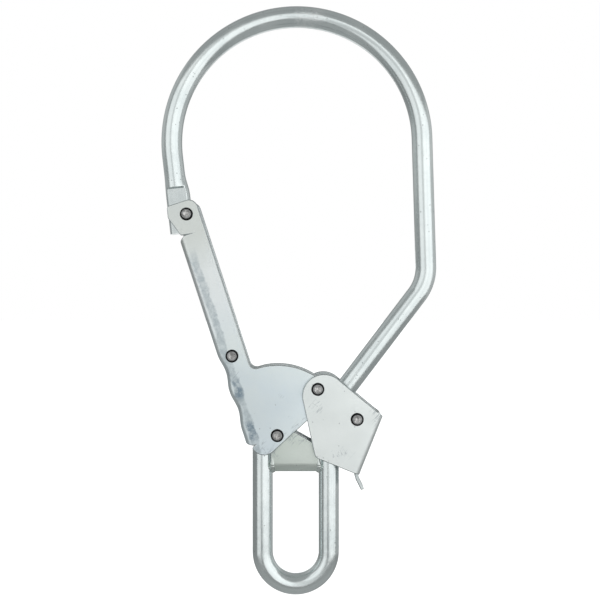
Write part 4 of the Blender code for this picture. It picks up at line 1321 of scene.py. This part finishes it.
def soft_box(name, azimuth, elevation, half_width, half_height, brightness):
    """A soft light seen from the hook at this angle, and this many degrees wide and high each way."""
    low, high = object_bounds()
    centre = (low + high) / 2
    a = math.radians(azimuth)
    e = math.radians(elevation)
    back = Vector((math.sin(a) * math.cos(e), -math.cos(a) * math.cos(e), math.sin(e)))
    lamp = bpy.data.lights.new(name, "AREA")
    lamp.shape = "RECTANGLE"
    lamp.size = 2 * LIGHT_DISTANCE * math.tan(math.radians(half_width))
    lamp.size_y = 2 * LIGHT_DISTANCE * math.tan(math.radians(half_height))
    lamp.energy = brightness * math.pi * lamp.size * lamp.size_y
    made = bpy.data.objects.new(name, lamp)
    made.location = centre + back * LIGHT_DISTANCE
    made.rotation_mode = "QUATERNION"
    made.rotation_quaternion = aimed(made.location, centre)
    made.visible_camera = False
    bpy.context.scene.collection.objects.link(made)


def make_floor(low):
    mesh = bpy.data.meshes.new("floor")
    z = low.z - FLOOR_DROP
    corners = [(x * FLOOR_REACH, y * FLOOR_REACH, z) for x, y in ((-1, -1), (1, -1), (1, 1), (-1, 1))]
    mesh.from_pydata(corners, [], [(0, 1, 2, 3)])
    paper = bpy.data.materials.new("white_paper")
    paper.use_nodes = True
    shader = paper.node_tree.nodes["Principled BSDF"]
    shader.inputs["Base Color"].default_value = (0.8, 0.8, 0.8, 1.0)
    shader.inputs["Roughness"].default_value = 0.9
    shader.inputs["Emission Color"].default_value = (1.0, 1.0, 1.0, 1.0)
    shader.inputs["Emission Strength"].default_value = 0.9
    floor = new_piece("floor", mesh, paper)
    floor.visible_glossy = False
    floor.visible_diffuse = False
    floor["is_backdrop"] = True


def make_surroundings():
    world = bpy.data.worlds.new("studio")
    bpy.context.scene.world = world
    world.use_nodes = True
    tree = world.node_tree
    tree.nodes.clear()
    way = new_node(tree, "ShaderNodeTexCoord").outputs["Generated"]
    up = new_node(tree, "ShaderNodeSeparateXYZ", {0: way}).outputs["Z"]
    above = {"Value": up, "From Min": -0.2, "From Max": 0.1, "To Min": 0.26, "To Max": 0.36}
    below = {"Value": up, "From Min": -0.25, "From Max": -0.8, "To Min": 0.26, "To Max": 0.38}
    levels = [new_node(tree, "ShaderNodeMapRange", level).outputs[0] for level in (above, below)]
    grey = math_node(tree, "MAXIMUM", *levels)
    around = new_node(tree, "ShaderNodeBackground", {"Color": (0.97, 1.0, 1.0, 1.0), "Strength": grey})
    seen = new_node(tree, "ShaderNodeBackground", {"Color": (1.0, 1.0, 1.0, 1.0), "Strength": 1.0})
    looked_at = new_node(tree, "ShaderNodeLightPath").outputs["Is Camera Ray"]
    mixed = new_node(tree, "ShaderNodeMixShader", {0: looked_at, 1: around.outputs[0], 2: seen.outputs[0]})
    end = tree.nodes.new("ShaderNodeOutputWorld")
    tree.links.new(mixed.outputs[0], end.inputs[0])


def make_camera():
    data = bpy.data.cameras.new("camera")
    data.sensor_width = 36.0
    data.lens = 48.2
    data.clip_start = 0.01
    data.clip_end = 50.0
    camera = bpy.data.objects.new("camera", data)
    camera.location = (1.8 * MM, -0.470, -159.5 * MM)
    camera.rotation_euler = (math.pi / 2, 0.0, 0.0)
    bpy.context.scene.collection.objects.link(camera)
    bpy.context.scene.camera = camera


make_floor(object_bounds()[0])
make_surroundings()
soft_box("right_soft_box", 40, 0, 40, 28, 0.84)
soft_box("front_soft_box", -8, 4, 9, 26, 0.36)
soft_box("left_soft_box", -40, 4, 22, 31, 0.64)
soft_box("back_soft_box", 180, -12, 30, 16, 0.6)
soft_box("far_right_soft_box", 108, 2, 26, 28, 0.2)
soft_box("far_left_soft_box", -112, 26, 26, 18, 0.14)
make_camera()
bpy.context.scene.view_settings.view_transform = "Standard"
